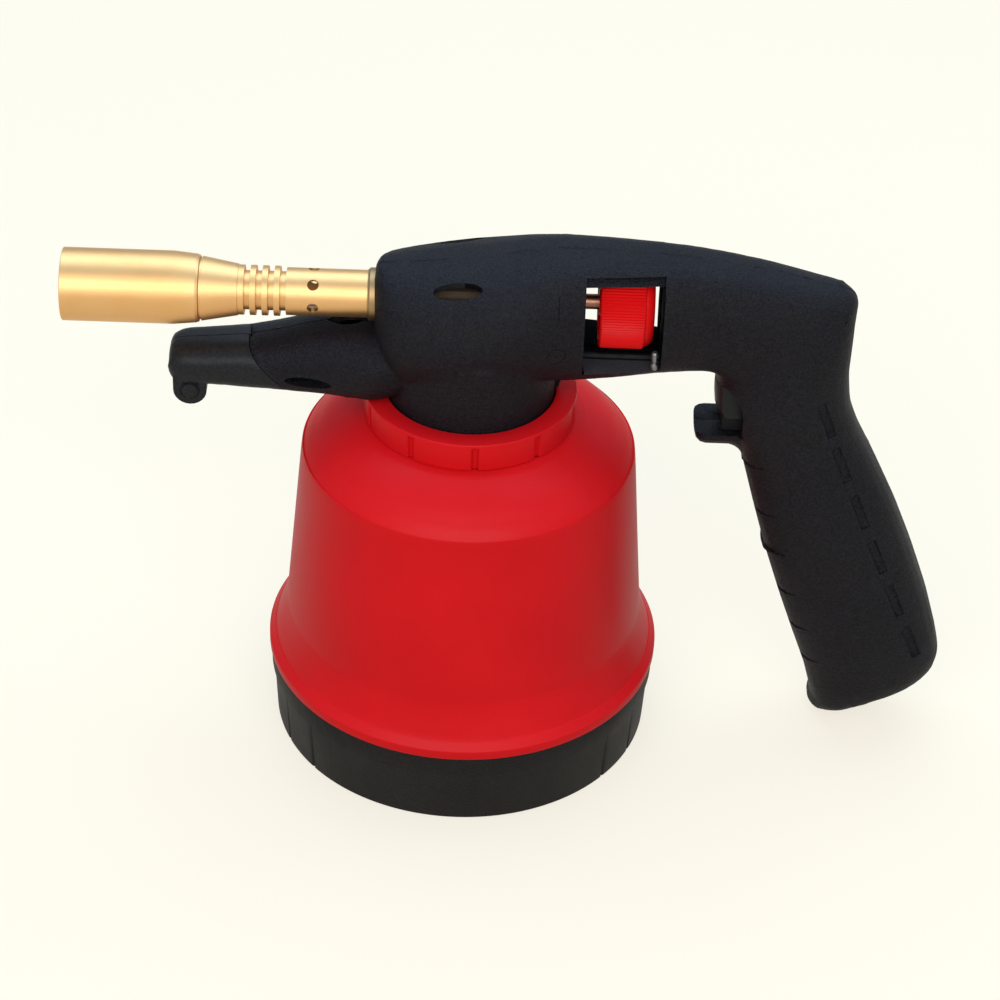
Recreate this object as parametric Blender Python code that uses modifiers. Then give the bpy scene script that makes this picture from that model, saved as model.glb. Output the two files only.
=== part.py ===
"""Gas torch on a pierceable cartridge, with a pistol grip, a valve knob and a piezo trigger.

Metres, +Z up. The origin is the middle of the base cup's underside, on the cartridge's axis.
The burner points along -X and the grip lies towards +X. The moulded casing is two halves that
meet on the plane y = 0: casing_left is the -Y half and casing_right the +Y half.
"""
import math

import bmesh
import bpy
from mathutils import Matrix, Vector

# General clearances and walls
GAP = 0.0003
OVERRUN = 0.004
WELD = 0.000001
SHARP_DEGREES = 35
CASING_WALL = 0.0022
SHELL_WALL = 0.0022
CUP_WALL = 0.0024

# Main levels and reaches of the torch
AXIS_HEIGHT = 0.1350
FRONT_REACH = 0.0251
HANDLE_REACH = 0.1340
CASING_HALF_WIDTH = 0.0227
NOSE_LENGTH = 0.0793
NOSE_HALF_WIDTH = 0.0123
BURNER_REACH = 0.1063

# Gas cartridge, the standard 190 g pierceable size
CARTRIDGE_RADIUS = 0.0450
CARTRIDGE_HEIGHT = 0.0890
CARTRIDGE_SHEET = 0.0006
CARTRIDGE_RIM = 0.0040
CARTRIDGE_DOME_RADIUS = 0.0090
PIERCED_HOLE_RADIUS = 0.0016

# Base cup that screws into the shell
CUP_EDGE_ROUND = 0.0022
CUP_FLOOR = 0.0028
CUP_EDGE_SHARE = 0.3
THREAD_LENGTH = 0.0105
CUP_PLAY = 0.0014
CUP_SKIN = 0.0032
CUP_DRAFT = 0.0011
THREAD_RADIUS = CARTRIDGE_RADIUS + CUP_PLAY + CUP_WALL
CUP_BOTTOM_RADIUS = THREAD_RADIUS + CUP_SKIN
CUP_TOP_RADIUS = CUP_BOTTOM_RADIUS + CUP_DRAFT
GRIP_GROOVE_RADIUS = 0.0006
GRIP_GROOVE_SHARE = 0.8
GRIP_GROOVE_SIDES = 6
GRIP_GROOVE_DEGREES = (50, 65, 115, 130, 230, 245, 295, 310)

# Red shell round the cartridge
FLARE_RADIUS = 0.0540
FLARE_HEIGHT = 0.0231
LIP_HEIGHT = 0.0023
LIP_STEP = 0.0009
SHELL_FOOT_RADIUS = 0.0487
SHELL_FOOT_RISE = 0.0180
SHELL_SHOULDER_RADIUS = 0.0449
SHELL_SHOULDER_HEIGHT = 0.0869
SHOULDER_ROUND_RADIUS = 0.0411
SHOULDER_ROUND_RISE = 0.0057
SHELL_TOP_HEIGHT = 0.0995
BOSS_RADIUS = 0.0257
BOSS_BORE_RADIUS = 0.0170
BOSS_HEIGHT = 0.0042

# Union nut above the shell
RING_RADIUS = 0.0282
RING_HEIGHT = 0.0079
RING_LIP = 0.0020
RING_NOTCHES = 10
NOTCH_WIDTH = 0.0015
NOTCH_DEPTH = 0.0009
NOTCH_TURN_SHARE = 0.01
NECK_RADIUS = 0.0224
NECK_FLANGE_RADIUS = 0.0250
NECK_FLANGE_THICKNESS = 0.0014
NECK_BORE_RADIUS = 0.0199
NECK_BORE_HEIGHT = 0.0036
THROAT_RADIUS = 0.0160

# Burner
BURNER_FLANGE_RADIUS = 0.0069
BURNER_FLANGE_LENGTH = 0.0023
FLANGE_SLEEVE_LENGTH = 0.0028
FLANGE_COLLAR_RADIUS = 0.0084
FLANGE_COLLAR_LENGTH = 0.0016
TUBE_RADIUS = 0.0062
TUBE_BORE_RADIUS = 0.0050
TUBE_START = 0.0170
FIN_START = 0.0484
FIN_RADIUS = 0.0065
FIN_GROOVE_RADIUS = 0.0051
FIN_PITCH = 0.0031
FIN_COUNT = 4
VENTURI_RADIUS = 0.0041
CONE_START = 0.0609
CONE_SMALL_RADIUS = 0.0067
CONE_LARGE_RADIUS = 0.0084
HEAD_JOINT = 0.0702
HEAD_JOINT_GROOVE = 0.0006
HEAD_CONE_LENGTH = 0.0070
HEAD_RADIUS = 0.0095
HEAD_WALL = 0.0012
AIR_HOLE_PLACE = 0.0414
AIR_HOLE_RADIUS = 0.00145
AIR_HOLE_TURN = 49.3
AIR_HOLE_PAIRS = 3
HOLDER_PLACE = 0.0900
HOLDER_THICKNESS = 0.0030
HOLDER_HOLE_RADIUS = 0.0013
HOLDER_HOLES = 6
HOLDER_RING_SHARE = 0.62
HOLDER_WAY_SHARE = 0.2
ELECTRODE_DROP = 0.0034
ELECTRODE_RADIUS = 0.0004
ELECTRODE_RISE_SHARE = 0.9
ELECTRODE_BEND_SHARE = 1.2
INSULATOR_RADIUS = 0.0009
INSULATOR_END = 0.0460
JET_RADIUS = 0.0018
JET_LENGTH = 0.0060
JET_BORE_RADIUS = 0.0004

# Valve
BARREL_RADIUS = 0.0065
BARREL_REAR = 0.0180
SPIGOT_RADIUS = 0.0047
SPIGOT_LENGTH = 0.0060
STEM_RADIUS = 0.0085
VALVE_FLANGE_THICKNESS = 0.0028
NEEDLE_RADIUS = 0.0012
NEEDLE_LENGTH = 0.0060
SEAL_RADIUS = 0.0070
SEAL_THICKNESS = 0.0024
SPINDLE_RADIUS = 0.0020
SPINDLE_TIP_RADIUS = 0.0009
SPINDLE_TIP = 0.0040
GLAND_RADIUS = 0.0055
GLAND_END = 0.0264
RING_SEAL_RADIUS = 0.0034
RING_SEAL_WIRE = 0.0007

# Valve knob and its window in the casing
KNOB_RADIUS = 0.0118
KNOB_START = 0.0326
KNOB_RIB_LENGTH = 0.0117
KNOB_LENGTH = 0.0141
KNOB_END_RADIUS = 0.0098
KNOB_RIBS = 36
KNOB_RIB_DEPTH = 0.0003
KNOB_SOCKET_DEPTH = 0.0090
WINDOW_START = 0.0286
WINDOW_END = 0.0489
WINDOW_DROP = 0.0140
WINDOW_RISE = 0.0136
WINDOW_FRAME = 0.0016
WINDOW_LEDGE_HEIGHT = 0.0023
WINDOW_LEDGE_DEPTH = 0.0010
FLOOR_SLOT_HALF_WIDTH = 0.0030

# Trigger, its opening and the finger rest below it
TRIGGER_TRAVEL = 0.0050
TRIGGER_DROP = 0.0198
TRIGGER_HEIGHT = 0.0110
TRIGGER_TOP = AXIS_HEIGHT - TRIGGER_DROP
TRIGGER_BOTTOM = TRIGGER_TOP - TRIGGER_HEIGHT
TRIGGER_REAR = 0.0730
TRIGGER_HALF_WIDTH = 0.0070
TRIGGER_CORE_HALF_WIDTH = 0.0050
TRIGGER_WALL = 0.0012
TRIGGER_CORE_START = 0.0668
OPENING_MIDDLE = 0.0662
OPENING_LEVEL = 0.1062
OPENING_FRONT = 0.0028
OPENING_DEPTH = 0.0057
OPENING_RISE = 0.0085
REST_TOP = 0.0990
REST_FRONT = 0.0599
REST_HALF_WIDTH = 0.0076
REST_DEPTH = 0.0050
REST_EDGE = 0.0004
REST_REAR = 0.0760
REST_ROUND = 0.0030

# Piezo igniter
PIEZO_START = 0.0785
PIEZO_LENGTH = 0.0180
PIEZO_HALF_SIDE = 0.0048
PLUNGER_DROP = 0.0057
PLUNGER_HEIGHT = TRIGGER_TOP - PLUNGER_DROP
PLUNGER_RADIUS = 0.0030
PLUNGER_LENGTH = 0.0110
WIRE_RADIUS = 0.0009
TERMINAL_RADIUS = 0.0009
TERMINAL_HEIGHT = 0.0052
TERMINAL_X = 0.0474
TERMINAL_Y = -0.0098
TERMINAL_TIP_SHARE = 0.7
TERMINAL_CHAMFER_SHARE = 0.9
TERMINAL_COLLAR_SHARE = 1.2

# Fasteners
POST_RADIUS = 0.0031
SCREW_HOLE_RADIUS = 0.00145
SCREW_SHANK_RADIUS = 0.00115
SCREW_HEAD_RADIUS = 0.0024
SCREW_HEAD_HEIGHT = 0.0016
SCREW_WELL_RADIUS = 0.0028
SCREW_SEAT = 0.0030
SCREW_REACH = 0.0055
SCREW_CROWN_SHARE = 0.8

# Details of the casing
VENT_HALF_LENGTH = 0.0060
VENT_HALF_WIDTH = 0.0025
VENT_LEAN_DEGREES = 62
UPPER_VENT_SHARES = (0.55, 1.072)
LOW_VENT_HALF_WIDTH = 0.0015
LOW_VENT_SHARES = (0.536, 0.842)
TOP_SLOT_SHARES = (1.28, 0.21)
DASH_LENGTH = 0.0112
DASH_WIDTH = 0.0024
DASH_DEPTH = 0.0006
DASH_COUNT = 6
DASH_SIDE_SHARE = 0.7
LUG_RADIUS = 0.0044
LUG_HALF_THICKNESS = 0.0075
LUG_X = -0.0736
LUG_Z = 0.1080
LUG_HOLE_SHARE = 0.7
BOSS_DIMPLE_RADIUS = 0.0022
BOSS_DIMPLE_RING = 0.0005
BOSS_DIMPLE_DEPTH = 0.0004
TOE_RADIUS = 0.0037
TOE_SCALE_SHARES = (1, 2, 1.2)

# Facets of the round pieces
FINE_STEPS = 48
STEPS = 24
SMALL_STEPS = 12
SCREW_STEPS = 8
NECK_STEPS = 36
CASING_SIDES = 24
CAVITY_SIDES = 12

# Each station of the casing's loft: lower point (x, z), upper point (x, z), half width, and the
# squareness of the lower and of the upper half. x is a share of FRONT_REACH where it is negative
# and of HANDLE_REACH where it is positive, z is a share of AXIS_HEIGHT, and the half width is a
# share of CASING_HALF_WIDTH.
CASING_STATION_SHARES = (
    (-1.000, 0.948, -1.000, 1.031, 0.28, 2.2, 2.3),
    (-0.992, 0.932, -0.992, 1.050, 0.42, 2.2, 2.3),
    (-0.965, 0.900, -0.972, 1.063, 0.55, 2.0, 2.3),
    (-0.892, 0.858, -0.908, 1.071, 0.68, 1.8, 2.3),
    (-0.785, 0.826, -0.800, 1.074, 0.80, 1.7, 2.3),
    (-0.637, 0.806, -0.637, 1.077, 0.90, 1.6, 2.3),
    (-0.319, 0.810, -0.319, 1.084, 0.985, 1.6, 2.3),
    (0.000, 0.821, 0.000, 1.092, 1.015, 1.6, 2.3),
    (0.060, 0.830, 0.060, 1.102, 0.975, 1.7, 2.3),
    (0.112, 0.836, 0.112, 1.113, 0.875, 1.9, 2.4),
    (0.164, 0.844, 0.164, 1.119, 0.760, 2.3, 2.6),
    (0.216, 0.851, 0.216, 1.119, 0.675, 2.8, 2.9),
    (0.284, 0.859, 0.284, 1.117, 0.630, 3.0, 3.0),
    (0.358, 0.869, 0.358, 1.113, 0.586, 3.0, 3.0),
    (0.418, 0.874, 0.425, 1.108, 0.564, 3.0, 3.0),
    (0.452, 0.875, 0.493, 1.098, 0.555, 2.9, 2.9),
    (0.468, 0.872, 0.567, 1.082, 0.555, 2.8, 2.8),
    (0.476, 0.864, 0.642, 1.062, 0.555, 2.7, 2.7),
    (0.479, 0.854, 0.698, 1.046, 0.551, 2.6, 2.6),
    (0.480, 0.842, 0.727, 1.027, 0.546, 2.6, 2.6),
    (0.480, 0.828, 0.739, 0.997, 0.546, 2.6, 2.6),
    (0.481, 0.808, 0.740, 0.941, 0.551, 2.6, 2.6),
    (0.484, 0.781, 0.740, 0.867, 0.555, 2.6, 2.6),
    (0.508, 0.741, 0.751, 0.793, 0.555, 2.6, 2.6),
    (0.533, 0.700, 0.775, 0.733, 0.555, 2.6, 2.6),
    (0.552, 0.637, 0.818, 0.652, 0.564, 2.6, 2.6),
    (0.579, 0.541, 0.873, 0.541, 0.582, 2.6, 2.6),
    (0.609, 0.441, 0.916, 0.441, 0.599, 2.6, 2.6),
    (0.648, 0.326, 0.957, 0.333, 0.608, 2.6, 2.6),
    (0.686, 0.222, 0.988, 0.233, 0.599, 2.6, 2.6),
    (0.716, 0.144, 1.000, 0.185, 0.577, 2.8, 2.5),
    (0.734, 0.082, 0.996, 0.152, 0.550, 3.0, 2.4),
    (0.747, 0.037, 0.981, 0.130, 0.500, 3.0, 2.3),
    (0.764, 0.018, 0.955, 0.121, 0.400, 2.6, 2.2),
)
CAVITY_FIRST_STATION = 3
CAVITY_LAST_STATION = 31

# Stations of the nose: x as a share of NOSE_LENGTH, lower and upper z as shares of AXIS_HEIGHT,
# half width as a share of NOSE_HALF_WIDTH.
NOSE_STATION_SHARES = (
    (-1.000, 0.822, 0.874, 0.50),
    (-0.988, 0.809, 0.885, 0.62),
    (-0.960, 0.804, 0.889, 0.69),
    (-0.893, 0.804, 0.891, 0.707),
    (-0.807, 0.803, 0.896, 0.740),
    (-0.738, 0.801, 0.901, 0.772),
    (-0.673, 0.800, 0.909, 0.797),
    (-0.601, 0.798, 0.920, 0.837),
    (-0.530, 0.797, 0.933, 0.894),
    (-0.461, 0.797, 0.940, 0.992),
    (-0.387, 0.799, 0.944, 1.154),
    (-0.324, 0.801, 0.946, 1.300),
    (-0.212, 0.815, 0.948, 1.180),
    (-0.150, 0.822, 0.948, 0.850),
)
NOSE_LOW_SQUARENESS = 3.2
NOSE_HIGH_SQUARENESS = 2.5
NOSE_CAVITY_FIRST_STATION = 2
CAP_SEAM_SHARES = ((-0.734, 0.963), (-0.734, 0.896), (-0.700, 0.870), (-0.649, 0.839), (-0.552, 0.778))

# Places of the casing screws: x as a share of HANDLE_REACH, z as a share of AXIS_HEIGHT
CASING_SCREW_SHARES = (
    (-0.284, 0.868), (0.172, 1.070), (0.149, 0.867), (0.440, 1.030), (0.657, 0.993), (0.709, 0.593),
    (0.836, 0.207),
)
# Middles of the first and last slot in the grip's side
DASH_FIRST_SHARES = (0.699, 0.796)
DASH_BEND_SHARES = (0.739, 0.692)
DASH_LAST_SHARES = (0.926, 0.254)

COLOURS = {
    "black_plastic": ((0.020, 0.021, 0.022), 0.55, 0.0),
    "cap_plastic": ((0.024, 0.025, 0.026), 0.50, 0.0),
    "trigger_plastic": ((0.045, 0.046, 0.048), 0.45, 0.0),
    "red_plastic": ((0.620, 0.020, 0.025), 0.38, 0.0),
    "knob_plastic": ((0.650, 0.012, 0.015), 0.40, 0.0),
    "brass": ((0.800, 0.560, 0.240), 0.25, 1.0),
    "steel": ((0.560, 0.560, 0.550), 0.30, 1.0),
    "cartridge_steel": ((0.450, 0.470, 0.480), 0.35, 1.0),
    "rubber": ((0.030, 0.030, 0.030), 0.80, 0.0),
    "ceramic": ((0.800, 0.780, 0.720), 0.35, 0.0),
    "piezo_plastic": ((0.120, 0.120, 0.130), 0.45, 0.0),
    "wire_sleeve": ((0.015, 0.015, 0.016), 0.22, 0.0),
}


def clear_objects():
    for item in list(bpy.data.objects):
        bpy.data.objects.remove(item, do_unlink=True)


def make_collection(name):
    collection = bpy.data.collections.new(name)
    bpy.context.scene.collection.children.link(collection)
    return collection


def make_material(name):
    colour, roughness, metallic = COLOURS[name]
    material = bpy.data.materials.new(name)
    material.use_nodes = True
    shader = material.node_tree.nodes["Principled BSDF"]
    shader.inputs["Base Color"].default_value = (*colour, 1.0)
    shader.inputs["Roughness"].default_value = roughness
    shader.inputs["Metallic"].default_value = metallic
    return material


clear_objects()
PARTS = make_collection("gas_torch")
CUTTERS = make_collection("cutters")
MATERIALS = {name: make_material(name) for name in COLOURS}


# Ways to make shapes

def helper(shape):
    """Hides a shape that only cuts or joins others."""
    shape.hide_render = True
    shape.display_type = "WIRE"
    CUTTERS.objects.link(shape)
    return shape


def piece(shape, material):
    """Makes a shape one of the torch's own pieces."""
    shape.data.materials.clear()
    shape.data.materials.append(MATERIALS[material])
    PARTS.objects.link(shape)
    return shape


def object_from_bmesh(name, bm):
    bmesh.ops.recalc_face_normals(bm, faces=bm.faces)
    mesh = bpy.data.meshes.new(name)
    bm.to_mesh(mesh)
    bm.free()
    return bpy.data.objects.new(name, mesh)


def shade(shape):
    shape.data.shade_smooth()
    shape.data.set_sharp_from_angle(angle=math.radians(SHARP_DEGREES))


def box(name, low, high):
    bm = bmesh.new()
    bmesh.ops.create_cube(bm, size=1)
    size = Vector(high) - Vector(low)
    middle = (Vector(high) + Vector(low)) / 2
    bmesh.ops.scale(bm, vec=size, verts=bm.verts)
    bmesh.ops.translate(bm, vec=middle, verts=bm.verts)
    return object_from_bmesh(name, bm)


def rod(name, start, end, radius, steps=SMALL_STEPS, end_radius=None):
    """A straight rod or cone from start to end."""
    start = Vector(start)
    end = Vector(end)
    axis = end - start
    place = Matrix.Translation((start + end) / 2) @ axis.to_track_quat("Z", "Y").to_matrix().to_4x4()
    last = radius if end_radius is None else end_radius
    bm = bmesh.new()
    bmesh.ops.create_cone(bm, cap_ends=True, segments=steps, radius1=radius, radius2=last,
                          depth=axis.length, matrix=place)
    return object_from_bmesh(name, bm)


def oval_rod(name, middle, along, across, axis, depth, steps=SMALL_STEPS):
    """A rod of elliptic section: along and across are its half axes as vectors."""
    place = Matrix((along, across, Vector(axis))).transposed().to_4x4()
    place.translation = middle
    bm = bmesh.new()
    bmesh.ops.create_cone(bm, cap_ends=True, segments=steps, radius1=1, radius2=1, depth=depth)
    bmesh.ops.transform(bm, matrix=place, verts=bm.verts)
    return object_from_bmesh(name, bm)


def turned(name, profile, steps=STEPS, closed=False):
    """Turns a profile of (radius, height) points about Z. Its outer side runs downwards."""
    mesh = bpy.data.meshes.new(name)
    points = [(radius, 0, height) for radius, height in profile]
    edges = [(index, index + 1) for index in range(len(points) - 1)]
    if closed:
        edges.append((len(points) - 1, 0))
    mesh.from_pydata(points, edges, [])
    shape = bpy.data.objects.new(name, mesh)
    screw = shape.modifiers.new("turn", "SCREW")
    screw.steps = steps
    screw.render_steps = steps
    screw.use_merge_vertices = True
    screw.merge_threshold = WELD
    screw.use_smooth_shade = True
    return shape


def lay_along_x(shape, height=AXIS_HEIGHT):
    """Lays a turned piece down, so that its own +Z points along +X."""
    shape.rotation_euler = (0, math.radians(90), 0)
    shape.location = (0, 0, height)
    return shape


def loft(name, rings):
    """A closed skin over rings of equally many points."""
    bm = bmesh.new()
    rows = [[bm.verts.new(point) for point in ring] for ring in rings]
    count = len(rows[0])
    for row, following in zip(rows, rows[1:]):
        for index in range(count):
            after = (index + 1) % count
            bm.faces.new((row[index], row[after], following[after], following[index]))
    bm.faces.new(rows[0])
    bm.faces.new(rows[-1])
    bmesh.ops.triangulate(bm, faces=[face for face in bm.faces if len(face.verts) == 4])
    return object_from_bmesh(name, bm)


def oval_ring(lower, upper, half_width, low_squareness, high_squareness, sides):
    """Two half superellipses between a lower and an upper point in the plane y = 0."""
    middle = (lower + upper) / 2
    reach = (upper - lower) / 2
    points = []
    for index in range(sides):
        turn = math.tau * index / sides
        squareness = low_squareness if math.cos(turn) < 0 else high_squareness
        up = math.copysign(abs(math.cos(turn)) ** (2 / squareness), math.cos(turn))
        side = math.copysign(abs(math.sin(turn)) ** (2 / squareness), math.sin(turn))
        points.append(middle + reach * up + Vector((0, half_width * side, 0)))
    return points


def prism(name, outline, half_depth):
    """A flat outline of (x, z) points, extruded to both sides of the plane y = 0."""
    curve = bpy.data.curves.new(name, "CURVE")
    curve.dimensions = "2D"
    curve.fill_mode = "BOTH"
    curve.extrude = half_depth
    spline = curve.splines.new("POLY")
    spline.points.add(len(outline) - 1)
    for point, (x, z) in zip(spline.points, outline):
        point.co = (x, z, 0, 1)
    spline.use_cyclic_u = True
    flat = bpy.data.objects.new(name + "_outline", curve)
    flat.rotation_euler = (math.radians(90), 0, 0)
    return welded(name, flat)


def welded(name, curve_object):
    """A closed mesh from a curve, which is removed."""
    bpy.context.scene.collection.objects.link(curve_object)
    mesh = finished_mesh(curve_object)
    bpy.data.objects.remove(curve_object)
    bm = bmesh.new()
    bm.from_mesh(mesh)
    bmesh.ops.remove_doubles(bm, verts=bm.verts, dist=WELD)
    return object_from_bmesh(name, bm)


def finished_mesh(shape):
    """The mesh of a shape with its modifiers applied, in world space."""
    bpy.context.view_layer.update()
    depsgraph = bpy.context.evaluated_depsgraph_get()
    mesh = bpy.data.meshes.new_from_object(shape.evaluated_get(depsgraph))
    mesh.transform(shape.matrix_world)
    return mesh


def combine(shape, other, operation):
    """Cuts, joins or intersects a shape with a helper."""
    if other.name not in CUTTERS.objects:
        helper(other)
    boolean = shape.modifiers.new(other.name, "BOOLEAN")
    boolean.operation = operation
    boolean.solver = "EXACT"
    boolean.object = other
    return shape


def cut(shape, *others):
    for other in others:
        combine(shape, other, "DIFFERENCE")
    return shape


def join(shape, *others):
    for other in others:
        combine(shape, other, "UNION")
    return shape


def baked(name, shape):
    """A new plain object from a shape with its modifiers applied."""
    return bpy.data.objects.new(name, finished_mesh(shape))


def smooth_route(points, steps):
    """Points on a smooth curve through the route's own points."""
    route = [Vector(point) for point in points]
    ends = [2 * route[0] - route[1], *route, 2 * route[-1] - route[-2]]
    result = []
    for before, start, end, after in zip(ends, ends[1:], ends[2:], ends[3:]):
        for index in range(steps):
            t = index / steps
            bend = (2 * before - 5 * start + 4 * end - after) * t ** 2
            twist = (3 * start - before - 3 * end + after) * t ** 3
            result.append((2 * start + (end - before) * t + bend + twist) / 2)
    return [*result, route[-1]]


# The casing's outer form and its hollow

def casing_point(x_share, z_share):
    reach = FRONT_REACH if x_share < 0 else HANDLE_REACH
    return Vector((x_share * reach, 0, z_share * AXIS_HEIGHT))


def casing_rings(stations, wall, sides):
    rings = []
    for lower_x, lower_z, upper_x, upper_z, width, low_squareness, high_squareness in stations:
        lower = casing_point(lower_x, lower_z)
        upper = casing_point(upper_x, upper_z)
        inward = (upper - lower).normalized() * wall
        half_width = width * CASING_HALF_WIDTH - wall
        ring = oval_ring(lower + inward, upper - inward, half_width, low_squareness, high_squareness, sides)
        rings.append(ring)
    return rings


def nose_rings(stations, wall, sides):
    rings = []
    for x, lower_z, upper_z, width in stations:
        lower = Vector((x * NOSE_LENGTH, 0, lower_z * AXIS_HEIGHT + wall))
        upper = Vector((x * NOSE_LENGTH, 0, upper_z * AXIS_HEIGHT - wall))
        half_width = width * NOSE_HALF_WIDTH - wall
        rings.append(oval_ring(lower, upper, half_width, NOSE_LOW_SQUARENESS, NOSE_HIGH_SQUARENESS, sides))
    return rings


def nose_form():
    """The nose below the burner, with the lug under its tip."""
    nose = loft("nose_form", nose_rings(NOSE_STATION_SHARES, 0, CASING_SIDES))
    lug = rod("lug", (LUG_X, -LUG_HALF_THICKNESS, LUG_Z), (LUG_X, LUG_HALF_THICKNESS, LUG_Z), LUG_RADIUS, STEPS)
    web = box("lug_web", (LUG_X - LUG_RADIUS, -LUG_HALF_THICKNESS, LUG_Z),
              (LUG_X + LUG_RADIUS, LUG_HALF_THICKNESS, LUG_Z + LUG_RADIUS))
    return helper(join(nose, lug, web))


def finger_rest():
    """An oval tongue in front of the handle; the trigger's opening flattens its top."""
    middle = Vector(((REST_FRONT + REST_REAR) / 2, 0, REST_TOP - REST_EDGE))
    tongue = oval_rod("finger_rest", middle, Vector((0, REST_HALF_WIDTH, 0)), Vector((0, 0, -REST_DEPTH)),
                      (-1, 0, 0), REST_REAR - REST_FRONT, STEPS)
    edge = tongue.modifiers.new("front_round", "BEVEL")
    edge.width = REST_ROUND
    edge.segments = 3
    edge.limit_method = "ANGLE"
    edge.angle_limit = math.radians(60)
    return tongue


def toe():
    """The bump at the grip's lower front corner."""
    corner = casing_point(CASING_STATION_SHARES[-2][0], CASING_STATION_SHARES[-2][1])
    bm = bmesh.new()
    bmesh.ops.create_uvsphere(bm, u_segments=SMALL_STEPS, v_segments=SMALL_STEPS // 2, radius=TOE_RADIUS)
    bmesh.ops.scale(bm, vec=TOE_SCALE_SHARES, verts=bm.verts)
    bmesh.ops.translate(bm, vec=corner + Vector((TOE_RADIUS / 2, 0, TOE_RADIUS / 3)), verts=bm.verts)
    return object_from_bmesh("toe", bm)


def neck_form():
    """The round neck that the union nut holds, with its flange."""
    foot = SHELL_TOP_HEIGHT + BOSS_HEIGHT + GAP
    shoulder = foot + NECK_FLANGE_THICKNESS
    top = AXIS_HEIGHT - BARREL_RADIUS / 2
    taper = top - NECK_FLANGE_RADIUS / 5
    neck = turned("neck_form", [(0, top), (THROAT_RADIUS, top), (NECK_RADIUS, taper), (NECK_RADIUS, shoulder),
                                (NECK_FLANGE_RADIUS, shoulder), (NECK_FLANGE_RADIUS, foot), (0, foot)], NECK_STEPS)
    neck.rotation_euler = (0, 0, math.pi / NECK_STEPS / 2)
    return neck


def casing_form():
    """The whole outside of the casing, still solid and without its cap."""
    body = loft("casing_form", casing_rings(CASING_STATION_SHARES, 0, CASING_SIDES))
    join(body, neck_form(), finger_rest(), toe(), NOSE)
    return helper(body)


def screw_places():
    return [(x * HANDLE_REACH, z * AXIS_HEIGHT) for x, z in CASING_SCREW_SHARES]


def casing_hollow():
    """Everything inside the casing that is air, with the posts, ribs and window frame left standing."""
    stations = CASING_STATION_SHARES[CAVITY_FIRST_STATION:CAVITY_LAST_STATION + 1]
    hollow = loft("casing_hollow", casing_rings(stations, CASING_WALL, CAVITY_SIDES))
    nose_stations = NOSE_STATION_SHARES[NOSE_CAVITY_FIRST_STATION:]
    nose = loft("nose_hollow", nose_rings(nose_stations, CASING_WALL, CAVITY_SIDES))
    neck_foot = SHELL_TOP_HEIGHT + BOSS_HEIGHT
    throat = rod("neck_throat", (0, 0, neck_foot), (0, 0, AXIS_HEIGHT), THROAT_RADIUS, STEPS)
    join(hollow, nose, throat)
    reach = CASING_HALF_WIDTH + OVERRUN
    frame = box("window_frame", (WINDOW_START - WINDOW_FRAME, -reach, AXIS_HEIGHT - WINDOW_DROP - WINDOW_FRAME),
                (WINDOW_END + WINDOW_FRAME, reach, AXIS_HEIGHT + WINDOW_RISE + WINDOW_FRAME))
    cut(hollow, frame)
    for number, (x, z) in enumerate(screw_places(), 1):
        cut(hollow, rod(f"post_{number}", (x, -reach, z), (x, reach, z), POST_RADIUS, SCREW_STEPS))
    for number, x in enumerate((GAP + WINDOW_FRAME - TUBE_START, BARREL_REAR - BARREL_RADIUS), 1):
        rib = box(f"valve_rib_{number}", (x, -reach, AXIS_HEIGHT - 1.5 * BARREL_RADIUS),
                  (x + WINDOW_FRAME, reach, AXIS_HEIGHT + 2 * BARREL_RADIUS))
        cut(hollow, rib)
    for number, x in enumerate((PIEZO_START + WINDOW_FRAME, PIEZO_START + PIEZO_LENGTH / 2), 1):
        rib = box(f"piezo_rib_{number}", (x, -reach, PLUNGER_HEIGHT - 1.5 * PIEZO_HALF_SIDE),
                  (x + WINDOW_FRAME, reach, PLUNGER_HEIGHT + 1.5 * PIEZO_HALF_SIDE))
        cut(hollow, rib)
    return helper(hollow)


# Openings through the casing

def window_cutter():
    """The knob's window, with a ledge left standing below the skin along its top."""
    reach = CASING_HALF_WIDTH + OVERRUN
    top = AXIS_HEIGHT + WINDOW_RISE
    window = box("window", (WINDOW_START, -reach, AXIS_HEIGHT - WINDOW_DROP), (WINDOW_END, reach, top))
    ledge = box("window_ledge", (WINDOW_START - OVERRUN, -reach - OVERRUN, top - WINDOW_LEDGE_HEIGHT),
                (WINDOW_END + OVERRUN, reach + OVERRUN, top + OVERRUN))
    combine(ledge, inner_core("ledge_core", WINDOW_LEDGE_DEPTH), "INTERSECT")
    cut(ledge, inner_core("ledge_room", WINDOW_LEDGE_DEPTH + WINDOW_FRAME))
    return cut(window, ledge)


def floor_slot():
    """The two halves of the window's floor stop short of each other."""
    floor = AXIS_HEIGHT - WINDOW_DROP
    inset = 2 * WINDOW_FRAME
    return box("floor_slot", (WINDOW_START + inset, -FLOOR_SLOT_HALF_WIDTH, floor - 2 * WINDOW_FRAME),
               (WINDOW_END - inset, FLOOR_SLOT_HALF_WIDTH, floor + WINDOW_FRAME))


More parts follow.
